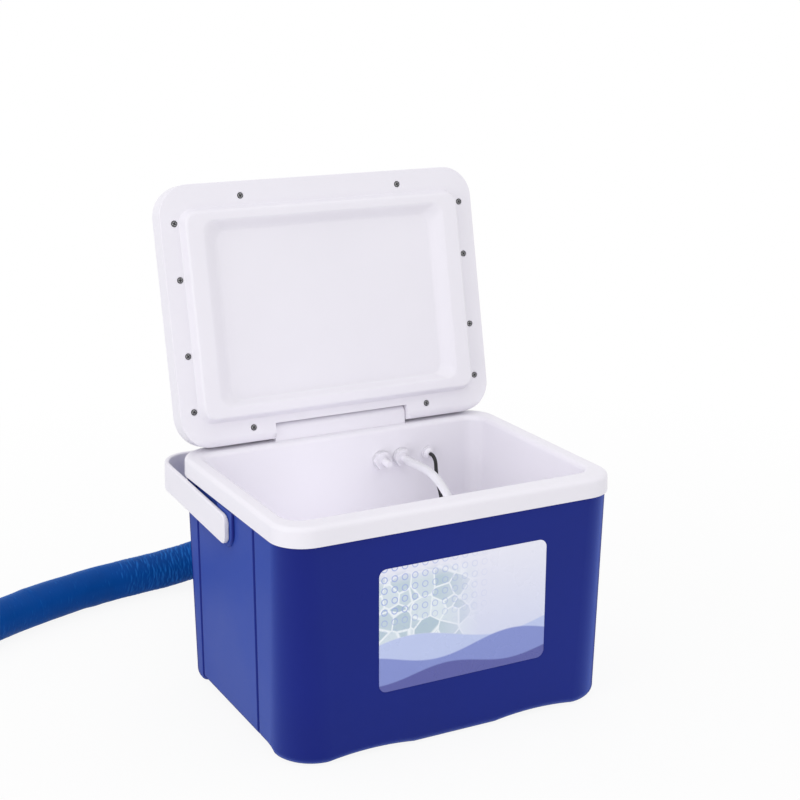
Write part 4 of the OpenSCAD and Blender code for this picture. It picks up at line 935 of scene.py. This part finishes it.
# ---------------------------------------------------------------- carrying handle
half_t, half_w = STRAP_T / 2, STRAP_W / 2
END_R, EDGE_SOFT, END_SOFT, END_THIN = 9.0, 1.5, 0.9, 0.6  # corners, edges and thinned ends of the strap
mid_x, mid_y = STRAP_IN + half_t, STRAP_REACH - half_t
bend = STRAP_BEND - half_t
path = [(-mid_x, k - STRAP_PAST) for k in (0.0, 0.35, 0.9, 1.8, 3.0, 4.5, 6.5, 9.0, 14, 40, 80, 120)]
path += [(-mid_x + bend - bend * math.cos(a), mid_y - bend + bend * math.sin(a)) for a in arc(16)]
path += [(x, mid_y) for x in (-120, -60, 0)]
path += [(-x, y) for x, y in reversed(path[:-1])]
rows = []
n = len(path)
for i, (x, y) in enumerate(path):
    a, b = path[max(i - 1, 0)], path[min(i + 1, n - 1)]
    tx, ty = b[0] - a[0], b[1] - a[1]
    k = math.hypot(tx, ty)
    nx, ny = ty / k, -tx / k
    from_end = y + STRAP_PAST if abs(x) > mid_x - 1e-3 else FAR
    hw, ht = half_w, half_t
    if from_end < END_R:
        hw -= END_R - math.sqrt(max(0.0, END_R ** 2 - (END_R - from_end) ** 2))
    if from_end < END_SOFT:
        ht -= END_THIN * (1 - math.sqrt(max(0.0, 1 - (1 - from_end / END_SOFT) ** 2)))
    cw, ct = hw - EDGE_SOFT, ht - EDGE_SOFT
    row = []
    for cx, cz, a0 in ((ct, cw, 0), (-ct, cw, 90), (-ct, -cw, 180), (ct, -cw, 270)):
        for q in arc(5, a0, a0 + 90):
            off, z = cx + EDGE_SOFT * math.cos(q), cz + EDGE_SOFT * math.sin(q)
            row.append((x + nx * off, y + ny * off, z))
    rows.append(row)
strap = Solid()
strap.loft(rows)
for sx in (-1, 1):
    strap.loft([[(sx * x, STUB_R * math.cos(a), STUB_R * math.sin(a)) for a in circle(32)]
                for x in (STRAP_IN - STUB_L, STRAP_IN + half_t)])
tilt = Matrix.Translation((0, PIVOT_Y * MM, PIVOT_Z * MM)) @ Matrix.Rotation(math.radians(STRAP_TILT), 4, "X")
strap.make("handle_strap", "white_plastic", "handle", replaced=["carry_handle"], matrix=tilt, angle=50)

# ---------------------------------------------------------------- label
LABEL_R, ON_SHELL = 8, 0.02
rows = []
for inset, out in ((0, ON_SHELL), (0, LABEL_T - 0.2), (0.1, LABEL_T - 0.06), (0.3, LABEL_T)):
    rows.append(ring(LABEL_W - 2 * inset, LABEL_H - 2 * inset, LABEL_R - inset, out, (-60, -30, 0, 30, 60),
                     (-40, 0, 40)))
film = Solid()
film.loft(rows)
down = (SHELL_TOP - LABEL_Z) / (SHELL_TOP - FOOT_ROUND)
label_at = Matrix.Translation((LABEL_X * MM, (SHELL_DRAFT * down - SHELL_D / 2) * MM, LABEL_Z * MM))
film.make("front_plate", "label", "cabinet", replaced=["front_label"], angle=40,
          matrix=label_at @ Matrix.Rotation(math.pi / 2 + DRAFT_ANGLE, 4, "X"))


# ---------------------------------------------------------------- floor, world and lights
def link(o):
    bpy.context.scene.collection.objects.link(o)
    return o


def seen_directly(t):
    """1 where the background shows itself, straight or in gloss and glass."""
    lp = t.nodes.new("ShaderNodeLightPath")
    return math_node(t, "MAXIMUM", lp.outputs["Is Camera Ray"],
                     math_node(t, "MAXIMUM", lp.outputs["Is Glossy Ray"], lp.outputs["Is Transmission Ray"]))


me = bpy.data.meshes.new("floor")
me.from_pydata([(-8, -8, 0), (8, -8, 0), (8, 8, 0), (-8, 8, 0)], [], [(0, 1, 2, 3)])
floor = link(bpy.data.objects.new("floor", me))
m = bpy.data.materials.new("floor")
m.use_nodes = True
t = m.node_tree
t.nodes.clear()
out = t.nodes.new("ShaderNodeOutputMaterial")
diff = t.nodes.new("ShaderNodeBsdfDiffuse")
diff.inputs[0].default_value = (0.82, 0.82, 0.82, 1)
emit = t.nodes.new("ShaderNodeEmission")
emit.inputs[0].default_value = (1, 1, 1, 1)
emit.inputs[1].default_value = 1.0
seen = seen_directly(t)
mixer = t.nodes.new("ShaderNodeMixShader")
length = t.nodes.new("ShaderNodeVectorMath")
length.operation = "LENGTH"
t.links.new(coords(t), length.inputs[0])
far = remap(t, length.outputs["Value"], 0.45, 1.2, 0.90, 1.0)
t.links.new(math_node(t, "MULTIPLY", seen, far), mixer.inputs[0])
t.links.new(diff.outputs[0], mixer.inputs[1])
t.links.new(emit.outputs[0], mixer.inputs[2])
t.links.new(mixer.outputs[0], out.inputs[0])
me.materials.append(m)

world = bpy.data.worlds.new("studio")
bpy.context.scene.world = world
world.use_nodes = True
t = world.node_tree
t.nodes.clear()
out = t.nodes.new("ShaderNodeOutputWorld")
bg = t.nodes.new("ShaderNodeBackground")
bg.inputs[0].default_value = (1, 1, 1, 1)
feed(t, bg.inputs[1], remap(t, seen_directly(t), 0, 1, 0.93, 1.0))
t.links.new(bg.outputs[0], out.inputs[0])


def area(name, at, to, size, power):
    d = bpy.data.lights.new(name, "AREA")
    d.shape, d.size, d.energy = "DISK", size, power
    o = link(bpy.data.objects.new(name, d))
    o.location = at
    o.rotation_euler = (Vector(to) - Vector(at)).to_track_quat("-Z", "Y").to_euler()
    return o


area("key", (-2.2, -0.5, 0.9), (0, 0, 0.15), 1.6, 10)
area("top", (0.2, -0.3, 2.4), (0, 0, 0.1), 2.2, 4)
area("front", (-0.6, -2.6, 1.2), (0, 0, 0.2), 1.8, 5)
d = bpy.data.lights.new("tub_fill", "POINT")
d.shadow_soft_size, d.energy = 0.05, 0.19
fill = link(bpy.data.objects.new("tub_fill", d))
fill.location = (-0.035, -0.01, 0.16)
fill.visible_camera = fill.visible_glossy = False
